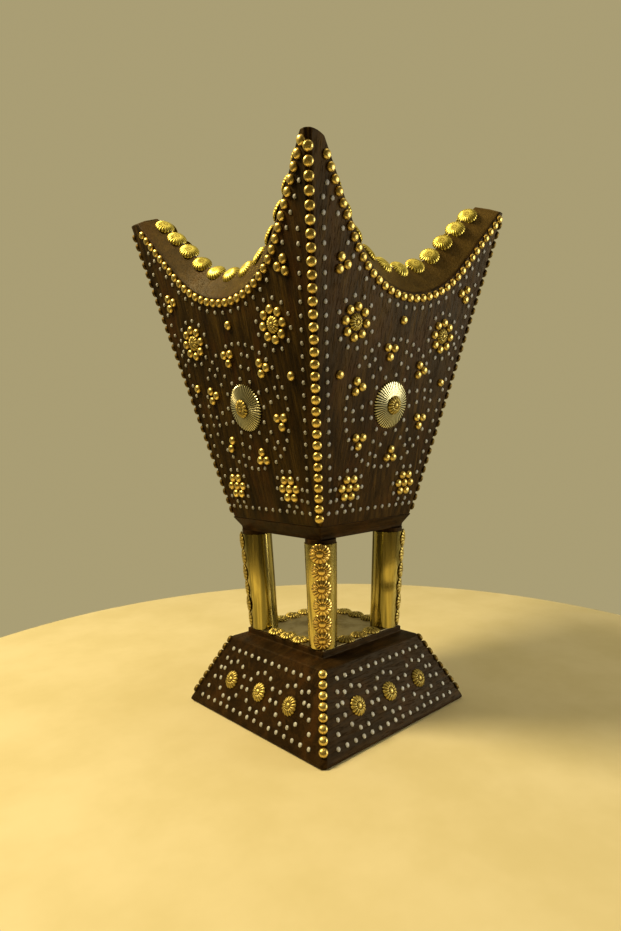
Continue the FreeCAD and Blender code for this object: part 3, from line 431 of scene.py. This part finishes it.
# a duller brass for the side corners' tacks: painted shade
shaded_tack_finish = stamped("shaded_tack_brass", (0.22, 0.155, 0.045), (0.06, 0.035, 0.008), 0.46, 0.0, 0.8)
leg_daisy_finish = stamped("leg_daisy_brass", (0.97, 0.74, 0.24), (0.22, 0.10, 0.015), 0.28, 0.05, 0.60)
rim_daisy_finish = stamped("rim_daisy_brass", (0.93, 0.81, 0.19), (0.22, 0.13, 0.012), 0.38, 0.15, 0.8)
rosette_finish = stamped("rosette_brass", (1.0, 0.96, 0.60), (0.020, 0.014, 0.004), 0.30, 0.30, 0.80, 0.9)
dull_pin_finish = stamped("dull_pin_steel", (0.47, 0.48, 0.50), (0.20, 0.185, 0.16), 0.70, 0.0, 0.5, 0.6)
pin_finish = stamped("pin_steel", (0.58, 0.60, 0.62), (0.24, 0.22, 0.19), 0.68, 0.0, 0.5, 0.6)

# %% [markdown]
# The sleeves, the plate and the lining are plain sheet. Rolling leaves long streaks and dark bands on the
# sleeves, which run up them because the pattern is drawn out in height, and hands leave soft marks.

# %% Sheet metal
def sheet_metal(name, colour, dull, roughness, length_share, bumps, banded=0.0):
    """length_share says how far the pattern is drawn out in height, and banded how dark the bands are."""
    finish = Finish(bpy.data.materials.new(name))
    here = finish.places()
    rolled = finish.stretched(here, (1, 1, length_share))
    streaks = finish.noise(rolled, 420, 3, 0.6)
    bands = finish.noise(rolled, 260, 3, 0.55)
    marks = finish.noise(finish.stretched(here, (1, 1, length_share * 3)), 120, 3, 0.6)
    dents = finish.noise(finish.stretched(here, (1, 1, length_share * 4)), 130, 2, 0.5)
    shade = finish.mix(finish.ease(marks, 0.42, 0.72, 0.0, 0.8), colour, dull)
    shade = finish.mix(finish.ease(bands, 0.44, 0.62, 0.0, banded), shade, dull)
    rough = finish.ease(streaks * 0.5 + marks * 0.5, 0.3, 0.7, roughness, roughness + 0.14)
    return finish.surface(
        Base_Color=shade, Roughness=rough, Metallic=1.0, Normal=finish.bump(streaks * 0.2 + dents, bumps)
    )


sleeve_finish = sheet_metal(
    "sleeve_brass", (0.62, 0.51, 0.16), (0.17, 0.15, 0.05), 0.12, 0.03, 0.1 * MM, banded=0.85
)
plate_finish = sheet_metal("plate_metal", (0.44, 0.37, 0.21), (0.26, 0.20, 0.09), 0.36, 0.3, 0.7 * MM)
liner_finish = sheet_metal("liner_metal", (0.52, 0.50, 0.45), (0.22, 0.19, 0.15), 0.34, 0.3, 0.6 * MM)
print("finishes", len(bpy.data.materials))

# %% [markdown]
# Where does each fitting go? The CAD holds every head as a solid of its own, so its seat can be read back:
# the solid's widest flat side is the one that lies on the wood, its normal says which way the head points,
# and the top of the head stands straight over the middle of the seat.

# %% Reading the seats
Seat = namedtuple("Seat", "place radius height")
TOP_SLACK = 0.002 * MM


def solids_of(node):
    """The corner points of each separate solid of a node, triangle by triangle."""
    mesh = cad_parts[node].data
    mesh.calc_loop_triangles()
    points = points_of(node)
    corners = np.empty(len(mesh.loop_triangles) * 3, np.int32)
    mesh.loop_triangles.foreach_get("vertices", corners)
    _, merged = np.unique(np.round(points, 7), axis=0, return_inverse=True)
    triangles = merged.reshape(-1)[corners].reshape(-1, 3)
    # corners that share a triangle take the lowest label among them, until nothing changes
    label = np.arange(triangles.max() + 1)
    while True:
        lowest = label[triangles].min(axis=1)
        spread = label.copy()
        np.minimum.at(spread, triangles.reshape(-1), np.repeat(lowest, 3))
        spread = spread[spread]
        if (spread == label).all():
            break
        label = spread
    owner = label[triangles[:, 0]]
    order = np.argsort(owner, kind="stable")
    edges = np.flatnonzero(np.diff(owner[order])) + 1
    return [points[corners.reshape(-1, 3)[rows]] for rows in np.split(order, edges)]


def flat_side(solid):
    """Which triangles make the widest flat side, and the way that the head on it points."""
    cross = np.cross(solid[:, 1] - solid[:, 0], solid[:, 2] - solid[:, 0])
    area = np.linalg.norm(cross, axis=1)
    normal = np.round(cross / np.maximum(area, 1e-16)[:, None], 2)
    _, kind = np.unique(normal, axis=0, return_inverse=True)
    kind = kind.reshape(-1)
    flat = kind == np.argmax(np.bincount(kind, weights=area))
    outwards = -cross[flat].sum(axis=0)
    return flat, outwards / np.linalg.norm(outwards)


def facing(outwards, origin, spin, lean):
    """A place whose Z points outwards, with the head turned about it and tipped a little."""
    stand = Vector(outwards).to_track_quat("Z", "Y").to_matrix().to_4x4()
    tip = Matrix.Rotation(lean[0], 4, "X") @ Matrix.Rotation(lean[1], 4, "Y")
    return Matrix.Translation(Vector(origin)) @ stand @ tip @ Matrix.Rotation(spin, 4, "Z")


def seats(node, tip=0.0):
    """The seat of each head of a node. No head is tipped by more than tip, in radians."""
    found = []
    for solid in solids_of(node):
        flat, outwards = flat_side(solid)
        points = solid.reshape(-1, 3)
        seat_points = solid[flat].reshape(-1, 3)
        rises = points @ outwards
        height = float(rises.max() - float((seat_points @ outwards).mean()))
        tops = np.unique(np.round(points[rises > rises.max() - TOP_SLACK], 7), axis=0)
        middle = tops.mean(axis=0) - outwards * height
        radius = float(np.linalg.norm(seat_points - middle, axis=1).max())
        lean = [max(-tip, min(tip, chance.gauss(0, tip))) for _ in range(2)]
        found.append(Seat(facing(outwards, middle, chance.uniform(0, 2 * math.pi), lean), radius, height))
    return found


def typical(found):
    """The radius and height of a head, from the middle one of its copies."""
    middle = len(found) // 2
    return sorted(seat.radius for seat in found)[middle], sorted(seat.height for seat in found)[middle]


TACK_NODES = [kind + name for kind in ("cup_corner_tacks_", "base_corner_tacks_") for name in CORNERS]
TACK_NODES += [kind + name for name in QUARTERS for kind in ("rim_tacks_", "face_tacks_")]
PIN_NODES = [kind + name for name in QUARTERS for kind in ("cup_pins_", "base_pins_")]
TACK_TIP, PIN_TIP, DAISY_TIP = 0.02, 0.06, 0.03
tack_seats = {node: seats(node, TACK_TIP) for node in TACK_NODES}
pin_seats = {node: seats(node, PIN_TIP) for node in PIN_NODES}
print("tacks:", sum(map(len, tack_seats.values())), "pins:", sum(map(len, pin_seats.values())))

# %% [markdown]
# A head is grown ring by ring, much as a turner would draw it: start with a flat disc, extrude it upwards,
# draw the new ring in, and repeat until it closes at the top. One helper makes tacks, pins, daisies and
# rosettes, which differ in their outline and in how many corners go round.

# %% Growing a head
def grown(name, corners, radius, height, outline):
    """outline lists the rings from the seat upwards, as shares of the radius and of the height."""
    deselect()
    bpy.ops.mesh.primitive_circle_add(vertices=corners, radius=radius * outline[0][0], fill_type="NGON")
    head = bpy.context.object
    head.name = name
    bpy.ops.object.mode_set(mode="EDIT")
    bpy.context.tool_settings.mesh_select_mode = (False, False, True)
    bpy.ops.mesh.select_all(action="SELECT")
    for (width, rise), (next_width, next_rise) in zip(outline, outline[1:]):
        lift = (0, 0, height * (next_rise - rise))
        bpy.ops.mesh.extrude_region_move(TRANSFORM_OT_translate={"value": lift})
        factor = next_width / width
        bpy.ops.transform.resize(value=(factor, factor, 1), center_override=(0, 0, 0))
    bpy.ops.mesh.merge(type="CENTER")
    bpy.ops.mesh.select_all(action="SELECT")
    bpy.ops.mesh.normals_make_consistent(inside=False)
    bpy.ops.object.mode_set(mode="OBJECT")
    return head


def store(piece, name, value_of):
    """Keeps a number on each corner of a piece for its finish to read."""
    kept = piece.data.attributes.new(name, "FLOAT", "POINT")
    kept.data.foreach_set("value", [float(value_of(vertex.co)) for vertex in piece.data.vertices])


# %% [markdown]
# What repeats is modelled once. Each copy gets a mesh and a tone of its own and is moved to its place, and
# the copies that belong to one node are joined into a single piece.

# %% Setting out copies
HEAD_CREASE, ROSETTE_CREASE = 50, 20


def copied(master):
    copy = master.copy()
    copy.data = master.data.copy()
    tone = chance.random()
    store(copy, "tone", lambda point: tone)
    bpy.context.scene.collection.objects.link(copy)
    return copy


def joined(copies, crease=HEAD_CREASE):
    deselect()
    for copy in copies:
        copy.select_set(True)
    bpy.context.view_layer.objects.active = copies[0]
    if len(copies) > 1:
        bpy.ops.object.join()
    smooth(copies[0], crease)
    return copies[0]


def set_out(master, places, name, slot, finish, node, crease=HEAD_CREASE):
    """One copy of the master at each place, joined into a piece that stands for the node."""
    copies = []
    for place in places:
        copy = copied(master)
        copy.data.transform(place)
        copies.append(copy)
    finished(joined(copies, crease), name, slot, finish, node)


# %% [markdown]
# The round tacks are plain domes with a short upright edge. There are hundreds, so each has only sixteen
# sides and six rings, and smooth shading does the rest. Their relief runs up from the edge and drops on
# the crown, so the finish paints shade low on each dome, in the angle between brass and wood, and paints
# the crown dark as a painted reflection of the dark room. The tacks down the two side corners are painted
# dull altogether, as painted shade, and those along the rims are a little smaller.

# %% Round tacks
DOME = [(1.0, 0.0), (0.99, 0.18), (0.93, 0.46), (0.77, 0.74), (0.53, 0.92), (0.25, 0.99)]
# the crown's low relief paints it dark, as a painted reflection of the dark room
CROWN_SHARE, PAINTED_CROWN_REFLECTION = 0.98, 0.3
TACK_WIDTH_SHARE = 0.98
SMALLER = Matrix.Scale(0.95, 4)


def dome_shade_and_reflection(point):
    # painted shade low on the dome, and a painted reflection on the crown
    rise = point.z / tack_height
    return PAINTED_CROWN_REFLECTION if rise > CROWN_SHARE else rise


tack_radius, tack_height = typical(tack_seats["face_tacks_front"])
tack = grown("tack", 16, tack_radius * TACK_WIDTH_SHARE, tack_height, DOME)
store(tack, "relief", dome_shade_and_reflection)
for node, found in tack_seats.items():
    # painted shade: the side corners' tacks get the duller brass
    finish = shaded_tack_finish if node.endswith(SHADED_SIDE_CORNERS) else tack_finish
    places = [seat.place @ SMALLER if node.startswith("rim") else seat.place for seat in found]
    set_out(tack, places, node.replace("tacks", "tack_heads"), "tack_brass", finish, node)
print("a tack is", round(tack_radius * 2 / MM, 2), "mm wide with", len(tack.data.polygons), "faces")

# %% [markdown]
# The steel pins are hammered nearly flush: low caps of ten sides each. Those on the base and the front
# are spread a little by it. The ones on the cup have gone grey in the smoke.

# %% Steel pins
CAP = [(1.0, 0.0), (0.98, 0.55), (0.80, 0.92), (0.35, 1.0)]
HAMMERED = Matrix.Diagonal((1.15, 1.15, 1.0, 1.0))
pin_radius, pin_height = typical(pin_seats["cup_pins_front"])
pin = grown("pin", 10, pin_radius, pin_height, CAP)
# the relief rises from the foot, so each cap is painted darker low down, as painted shade
store(pin, "relief", lambda point: point.z / pin_height)
for node, found in pin_seats.items():
    on_base = node.startswith("base")
    finish = pin_finish if on_base else dull_pin_finish
    places = [seat.place @ HAMMERED if on_base or node.endswith("front") else seat.place for seat in found]
    set_out(pin, places, node.replace("pins", "pin_heads"), "pin_steel", finish, node)
print("a pin has", len(pin.data.polygons), "faces")

# %% [markdown]
# A daisy is stamped from thin brass: petals separated by grooves, with a round button in the middle. The
# dome is grown with four corners to a petal. Then every fourth corner is pressed down to make the groove
# and drawn in at the edge, and the one midway between two grooves is raised to round the petal.

# %% Stamping petals
RING_SLACK, EDGE_SHARE = 0.02, 0.985
CREST_SHARE = 0.15
GROOVE, HALF_WAY, CREST = (-0.1, 0.1), (0.4, 0.6), (0.9, 1.1)


def petal_share(point, petals):
    """0 in the groove between two petals and 1 on a petal's crest."""
    round_share = math.atan2(point.y, point.x) / (2 * math.pi) * petals
    return 0.5 - 0.5 * math.cos(2 * math.pi * round_share)


def reach_of(point, radius):
    """How far out a point of a head is, as a share of its radius."""
    return math.hypot(point.x, point.y) / radius


def stamp(head, petals, radius, height, pressed, notch):
    """pressed lists how deep the groove is at each ring, as shares of the radius and of the height."""
    def lift(ring, zone, rise):
        def chosen(point):
            on_ring = abs(reach_of(point, radius) - ring) < RING_SLACK and point.z > 0
            return on_ring and zone[0] < petal_share(point, petals) < zone[1]

        pick(head, chosen)
        bpy.ops.transform.translate(value=(0, 0, rise))

    def draw_in(zone, factor):
        def chosen(point):
            return reach_of(point, radius) > EDGE_SHARE and zone[0] < petal_share(point, petals) < zone[1]

        pick(head, chosen)
        bpy.ops.transform.resize(value=(factor, factor, 1), center_override=(0, 0, 0))

    for ring, depth in pressed:
        lift(ring, GROOVE, -depth * height)
        lift(ring, CREST, depth * height * CREST_SHARE)
    draw_in(GROOVE, notch)
    draw_in(HALF_WAY, (1 + notch) / 2)
    bpy.ops.object.mode_set(mode="OBJECT")


# %% [markdown]
# The small daisies sit on the base, round the plate, on the legs and in the middle of the bosses and the
# rosettes. Their petals are brightest on the crest, and the ring round the button is dark with dirt.

# %% Small daisies
DAISY = [
    (1.0, 0.0), (1.0, 0.20), (0.90, 0.42), (0.74, 0.66), (0.56, 0.82), (0.42, 0.84),
    (0.34, 0.70), (0.28, 0.78), (0.20, 0.97), (0.09, 1.0),
]
PRESSED = [(0.90, 0.14), (0.74, 0.26), (0.56, 0.26), (0.42, 0.14)]


def daisy_head(name, petals, radius, height):
    head = grown(name, petals * 4, radius, height, DAISY)

    def relief(point):
        reach = reach_of(point, radius)
        if reach < 0.31:
            return 0.9 if reach < 0.25 else 0.35
        # the foot of each daisy is painted darker, as painted shade where it meets the wood
        edge = min(1.0, max(0.0, point.z / (0.3 * height)))
        return edge * (0.1 + 0.9 * petal_share(point, petals)) if reach > 0.38 else 0.0

    store(head, "relief", relief)
    stamp(head, petals, radius, height, PRESSED, 0.93)
    return head


def stamp_all(nodes, petals, finish, made=daisy_head):
    """Stamps one daisy of these nodes' size and sets it out on each of them."""
    found = {node: seats(node, DAISY_TIP) for node in nodes}
    radius, height = typical(found[nodes[0]])
    head = made("daisy", petals, radius, height)
    for node, places in found.items():
        set_out(head, [seat.place for seat in places], "stamped_" + node, "daisy_brass", finish, node)
    print(nodes[0], round(radius * 2 / MM, 2), "mm wide with", len(head.data.polygons), "faces each")
    bpy.data.objects.remove(head)


stamp_all(["base_daisies", "plate_daisies", "rosette_daisies"], 15, daisy_finish)
stamp_all(["face_daisies_" + name for name in QUARTERS], 14, daisy_finish)

# %% [markdown]
# The large daisies along the rims are nailed over the inner edge, so they lean in over the cup. They are
# fuller domes than the small ones, worn bright and smooth on top, and their grooves show near the edge.

# %% Rim daisies
FULL_DOME = [
    (1.0, 0.0), (1.0, 0.14), (0.94, 0.34), (0.82, 0.58), (0.66, 0.78), (0.46, 0.91), (0.27, 0.97),
    (0.20, 0.95), (0.15, 1.0),
]
SHALLOW = [(0.94, 0.12), (0.82, 0.14), (0.66, 0.10), (0.46, 0.05)]


def full_daisy(name, petals, radius, height):
    head = grown(name, petals * 4, radius, height, FULL_DOME)

    def relief(point):
        reach = reach_of(point, radius)
        groove = 1 - petal_share(point, petals)
        button = 0.3 if 0.17 < reach < 0.23 else 1.0
        return (1.0 - groove * min(1.0, max(0.0, (reach - 0.30) / 0.6))) * button

    store(head, "relief", relief)
    stamp(head, petals, radius, height, SHALLOW, 0.96)
    return head


stamp_all(["rim_daisies_" + name for name in QUARTERS], 20, rim_daisy_finish, full_daisy)

# %% [markdown]
# The rosettes are wider and flatter, with 48 straight flutes from a serrated edge to a flat middle. They
# are made the same way as the daisies, with four corners to a flute.

# %% Rosettes
FLUTES = 48
ROSETTE = [
    (1.0, 0.0), (1.0, 0.16), (0.93, 0.30), (0.80, 0.50), (0.66, 0.68), (0.52, 0.84), (0.42, 0.96),
    (0.36, 1.0), (0.15, 1.0),
]
FLUTED = [(0.93, 0.16), (0.80, 0.13), (0.66, 0.11), (0.52, 0.09), (0.42, 0.06)]


def fluted_head(radius, height):
    head = grown("rosette", FLUTES * 4, radius, height, ROSETTE)

    def relief(point):
        return 0.35 if reach_of(point, radius) < 0.38 else 0.1 + 0.9 * petal_share(point, FLUTES)

    store(head, "relief", relief)
    stamp(head, FLUTES, radius, height, FLUTED, 0.89)
    return head


for name in QUARTERS:
    node = "rosette_" + name
    seat = seats(node)[0]
    rosette = fluted_head(seat.radius, seat.height)
    set_out(rosette, [seat.place], "fluted_" + node, "rosette_brass", rosette_finish, node, ROSETTE_CREASE)
    bpy.data.objects.remove(rosette)
print("rosettes are", round(seat.radius * 2 / MM, 1), "mm wide")

# %% [markdown]
# The leg sleeves are thin sheet rolled round the posts, and each leans and tapers a little with its post.
# One class reads that leaning cone from the solid, so the sheet and the daisies can be bent round it.

# %% How the legs lean
def ring_at(node, top):
    """The middle and radius of a node's lowest or highest ring of points."""
    points = points_of(node)
    height = points[:, 2].max() if top else points[:, 2].min()
    ring = points[abs(points[:, 2] - height) < 0.01 * MM]
    middle = (ring.min(axis=0) + ring.max(axis=0)) / 2
    return Vector(middle), float(np.linalg.norm(ring - middle, axis=1).max())


class Leg:
    """The leaning cone of one sleeve, to bend things round."""

    def __init__(self, corner):
        self.low, self.low_radius = ring_at("leg_sleeve_" + corner, False)
        self.high, self.high_radius = ring_at("leg_sleeve_" + corner, True)
        self.out = Vector((self.low.x, self.low.y, 0)).normalized()
        self.side = Vector((-self.out.y, self.out.x, 0))
        self.rise = self.high.z - self.low.z

    def at(self, turn, height, off):
        """A point round the sleeve by a turn from its outer side, at a height, off its surface."""
        share = (height - self.low.z) / self.rise
        middle = self.low.lerp(self.high, share)
        reach = self.low_radius + (self.high_radius - self.low_radius) * share + off
        return middle + (self.out * math.cos(turn) + self.side * math.sin(turn)) * reach


legs = {corner: Leg(corner) for corner in CORNERS}
print("legs stand", round(legs["front_left"].low.length * 2 / MM, 1), "mm apart across the corners")

# %% [markdown]
# Real sleeves are never quite round: the sheet has faint dents, a ragged top edge and a seam on the inner
# side, where one edge laps over the other. Each starts as a flat grid, which is wrapped round its cone and
# then thickened inwards.

# %% Rolled sleeves
SHEET = 0.5 * MM
SHEET_SINK = 0.02 * MM
LAP = math.radians(16)
LAP_SHARE = LAP / math.pi
WAVE_DEPTH, WAVE_PHASE = 0.10 * MM, 900
RAGGED = 0.22 * MM
Dent = namedtuple("Dent", "turn height_share width depth")
DENTS = {
    "front_right": Dent(-1.15, 0.50, 6 * MM, 0.45 * MM),
    "back_left": Dent(0.9, 0.3, 7 * MM, 0.4 * MM),
}


def pressed_in(leg, dent, turn, share):
    """How far a thumb's dent presses the sheet in at a point."""
    aside = (turn - 2 * math.pi - dent.turn) * leg.low_radius
    reach = math.hypot(aside, (share - dent.height_share) * leg.rise) / dent.width
    return dent.depth * math.exp(-reach * reach)


for corner, leg in legs.items():
    deselect()
    bpy.ops.mesh.primitive_grid_add(x_subdivisions=96, y_subdivisions=30, size=1)
    sleeve = bpy.context.object
    edge = {}
    for vertex in sleeve.data.vertices:
        round_share, share = vertex.co.x + 0.5, vertex.co.y + 0.5
        turn = math.pi + round_share * (2 * math.pi + LAP)
        off = min(1.0, max(0.0, round_share - 1 + LAP_SHARE) / LAP_SHARE) * SHEET
        wave = WAVE_DEPTH * math.sin(3 * turn + 5 * share + leg.low.x * WAVE_PHASE) * share
        if corner in DENTS:
            wave -= pressed_in(leg, DENTS[corner], turn, share)
        key = round(vertex.co.x, 4)
        if key not in edge:
            edge[key] = chance.gauss(0, RAGGED)
        ragged = abs(edge[key]) if share > 0.99 else 0.0
        height = leg.low.z + share * leg.rise - ragged
        vertex.co = leg.at(turn, height, off + min(0.0, wave) - SHEET_SINK)
    thicken(sleeve, SHEET)
    finished(sleeve, "rolled_sleeve_" + corner, "sleeve_brass", sleeve_finish, "leg_sleeve_" + corner)
print("sleeves", len(legs), "of", round(leg.rise / MM, 1), "mm")

# %% [markdown]
# Six daisies run down the outer side of each leg, bent round it. The flat daisy is modelled once and
# every corner of a copy is wrapped round the leaning cone: its sideways distance becomes a turn. They
# overlap a little, so every second one lies higher. Those on the two side legs are painted duller, as
# painted shade, like the tacks above them.

# %% Leg daisies
OVERLAP_SHARE = 1.18
LEG_DAISY_HEIGHT = 1.7 * MM
LIFT = 0.2 * MM
ASIDE = 0.25 * MM


def leg_seats(corner):
    """The middle heights of the bent discs on one leg, and their radii."""
    found = []
    for solid in solids_of("leg_daisies_" + corner):
        low, high = solid[:, :, 2].min(), solid[:, :, 2].max()
        found.append(((low + high) / 2, (high - low) / 2))
    return sorted(found)


leg_daisy_radius = leg_seats("front_left")[0][1] * OVERLAP_SHARE
leg_daisy = daisy_head("leg_daisy", 15, leg_daisy_radius, LEG_DAISY_HEIGHT)
for corner, leg in legs.items():
    copies = []
    for index, (height, _) in enumerate(leg_seats(corner)):
        spin, aside = chance.uniform(0, 0.4), chance.gauss(0, ASIDE)
        copy = copied(leg_daisy)
        copy.data.transform(Matrix.Rotation(spin, 4, "Z"))
        for vertex in copy.data.vertices:
            around = (vertex.co.x + aside) / (leg.low_radius + leg.high_radius) * 2
            vertex.co = leg.at(around, height + vertex.co.y, vertex.co.z + LIFT * (index % 2))
        copies.append(copy)
    # painted shade: the side legs' daisies get the duller finish
    finish = daisy_finish if corner in SHADED_SIDE_CORNERS else leg_daisy_finish
    finished(joined(copies), "stamped_leg_daisies_" + corner, "daisy_brass", finish, "leg_daisies_" + corner)
print("leg daisies", len(copies), "to a leg")

# %% [markdown]
# The wooden parts keep their solids' shapes, but hand-worked wood has no knife-sharp edges. Each is a copy
# of the solid, with doubled corners merged, flat faces cleaned of their triangles, and sharp edges rounded
# with a bevel. The mitres between the boards stay sharp, because the boards meet there. Last, the normals
# are weighted by area, so that the flat faces shade flat beside their narrow roundings.

# %% Rounded wood
BOARD_ROUNDING, FOOT_ROUNDING, BASE_ROUNDING = 0.5 * MM, 0.8 * MM, 0.7 * MM
MITRE_SLACK, SOLID_ROUNDED = 0.02 * MM, 3 * MM


def rounded(node, name, slot, finish, width_at):
    """width_at gives the rounding of a sharp edge from the edge's two ends."""
    piece = bpy.data.objects.new(name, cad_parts[node].data.copy())
    bpy.context.scene.collection.objects.link(piece)
    work_on(piece)
    bpy.ops.object.mode_set(mode="EDIT")
    bpy.context.tool_settings.mesh_select_mode = (False, True, False)
    bpy.ops.mesh.select_all(action="SELECT")
    bpy.ops.mesh.remove_doubles(threshold=0.002 * MM)
    bpy.ops.mesh.dissolve_limited(angle_limit=math.radians(0.8))
    bpy.ops.mesh.select_all(action="DESELECT")
    bpy.ops.mesh.edges_select_sharp(sharpness=math.radians(28))
    bpy.ops.object.mode_set(mode="OBJECT")
    points = piece.data.vertices
    widths = []
    for edge in piece.data.edges:
        start, end = (points[index].co for index in edge.vertices)
        widths.append(width_at(start, end) if edge.select else 0.0)
    shares = piece.data.attributes.new("bevel_weight_edge", "FLOAT", "EDGE")
    shares.data.foreach_set("value", [width / max(widths) for width in widths])
    rounding = piece.modifiers.new("rounding", "BEVEL")
    rounding.limit_method = "WEIGHT"
    rounding.width = max(widths)
    rounding.segments = 3
    rounding.use_clamp_overlap = False
    bpy.ops.object.modifier_apply(modifier="rounding")
    smooth(piece, 30)
    level_faces = piece.modifiers.new("level_faces", "WEIGHTED_NORMAL")
    level_faces.keep_sharp = True
    bpy.ops.object.modifier_apply(modifier="level_faces")
    count = sum(width > 0 for width in widths)
    print(name, "has", count, "rounded edges and", len(piece.data.polygons), "faces")
    finished(piece, name, slot, finish, node)


def board_width(start, end):
    """Nothing on the mitres, between two boards."""
    on_mitre = all(abs(abs(point.x) - abs(point.y)) < MITRE_SLACK for point in (start, end))
    return 0.0 if on_mitre else BOARD_ROUNDING


def foot_width(start, end):
    return FOOT_ROUNDING


def base_width(start, end):
    """Nothing on the foot, which the solid rounds already."""
    return 0.0 if max(start.z, end.z) < SOLID_ROUNDED else BASE_ROUNDING


for quarter in QUARTERS:
    rounded("cup_wall_" + quarter, "board_" + quarter, "dark_wood", board_finish[quarter], board_width)
rounded("cup_floor", "foot_of_cup", "dark_wood", floor_finish, foot_width)
rounded("base_block", "carved_base", "dark_wood", base_finish, base_width)

# %% [markdown]
# The plate on the base is thin sheet that has been pressed down by hand. It keeps two long soft folds and
# a faint ripple. A fine grid is lifted along the folds, less and less towards its edges, then thickened.

# %% Creased plate
PLATE_RIPPLE = 0.04


def fold(across, width, height):
    """The height of a soft fold at a distance from its line."""
    return math.exp(-(across / width) ** 2) * height


low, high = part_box("base_plate")
deselect()
bpy.ops.mesh.primitive_grid_add(x_subdivisions=56, y_subdivisions=56, size=high.x - low.x)
plate = bpy.context.object
for vertex in plate.data.vertices:
    x, y = vertex.co.x / MM, vertex.co.y / MM
    crease = fold(0.8 * x + 0.6 * y - 6 - 2 * math.sin(y / 9), 1.1, 0.35)
    crease += fold(0.35 * x - 0.9 * y + 7 + 1.5 * math.sin(x / 8), 1.3, 0.28)
    edge = max(abs(x), abs(y)) / (high.x / MM)
    ripple = PLATE_RIPPLE * math.sin(x / 3.1) * math.sin(y / 4.3)
    vertex.co.z = high.z + (crease * (1 - edge**4) + ripple) * MM
thicken(plate, high.z - low.z)
finished(plate, "creased_plate", "plate_metal", plate_finish, "base_plate")
print("plate", round((high.x - low.x) / MM, 1), "mm square")

# %% [markdown]
# The posts and the lining keep their solids and only get their finishes. The heads that the copies were
# made from are no longer needed.

# %% Carried-over solids
def repaint(node, finish):
    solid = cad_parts[node]
    solid.data.materials.clear()
    solid.data.materials.append(finish)


for corner in CORNERS:
    repaint("leg_post_" + corner, post_finish)
repaint("cup_liner", liner_finish)
for master in (tack, pin, leg_daisy):
    bpy.data.objects.remove(master)
print("repainted", len(CORNERS) + 1, "solids")

# %% [markdown]
# A plain pale round table top and three soft lights. The warm one stands high on the left, so the shadow
# falls to the right, a weak one hangs overhead, and a cooler one fills in from the right. The room around
# is a warm grey beyond the burner and nearly dark behind the camera, so that the brass has something dark
# to mirror.

# %% Floor and light
FLOOR_RADIUS, FLOOR_MIDDLE = 0.33, (-0.006, -0.012, 0)
ROOM_DARK, ROOM_PALE = (0.085, 0.062, 0.022), (0.40, 0.34, 0.175)

deselect()
bpy.ops.mesh.primitive_circle_add(vertices=128, radius=FLOOR_RADIUS, fill_type="NGON", location=FLOOR_MIDDLE)
floor = bpy.context.object
floor.name = "floor"
stone = Finish(bpy.data.materials.new("pale_floor"))
specks = stone.ease(stone.noise(stone.places(), 14, 4, 0.6), 0.3, 0.7)
floor.data.materials.append(
    stone.surface(Base_Color=stone.mix(specks, (0.74, 0.65, 0.38), (0.82, 0.73, 0.47)), Roughness=0.55)
)


def soft_light(name, place, aim, width, power, colour):
    data = bpy.data.lights.new(name, "AREA")
    data.shape = "DISK"
    data.size = width
    data.energy = power
    data.color = colour
    light = bpy.data.objects.new(name, data)
    light.location = place
    light.rotation_euler = (Vector(aim) - Vector(place)).to_track_quat("-Z", "Y").to_euler()
    bpy.context.scene.collection.objects.link(light)


soft_light("key", (-0.48, 0.30, 0.85), (0, 0, 0.08), 0.30, 10.2, (1.0, 0.80, 0.42))
soft_light("top", (0.05, -0.20, 1.10), (0, 0, 0.1), 0.6, 1.1, (1.0, 0.84, 0.50))
soft_light("side", (0.75, -0.80, 0.26), (0, 0, 0.18), 0.6, 5.6, (1.0, 0.91, 0.70))

room = Finish(bpy.data.worlds.new("room"))
towards = room.node("ShaderNodeTexCoord", output=0)
beyond = room.node(
    "ShaderNodeVectorMath", {"operation": "DOT_PRODUCT"}, {0: towards, 1: (0.7, 0.7, 0.15)}, output=1
)
bpy.context.scene.world = room.surface(
    Color=room.mix(room.ease(beyond, -0.2, 0.6), ROOM_DARK, ROOM_PALE), Strength=1.0
)
bpy.context.scene.view_settings.view_transform = "Standard"
print("lights", len(bpy.data.lights))
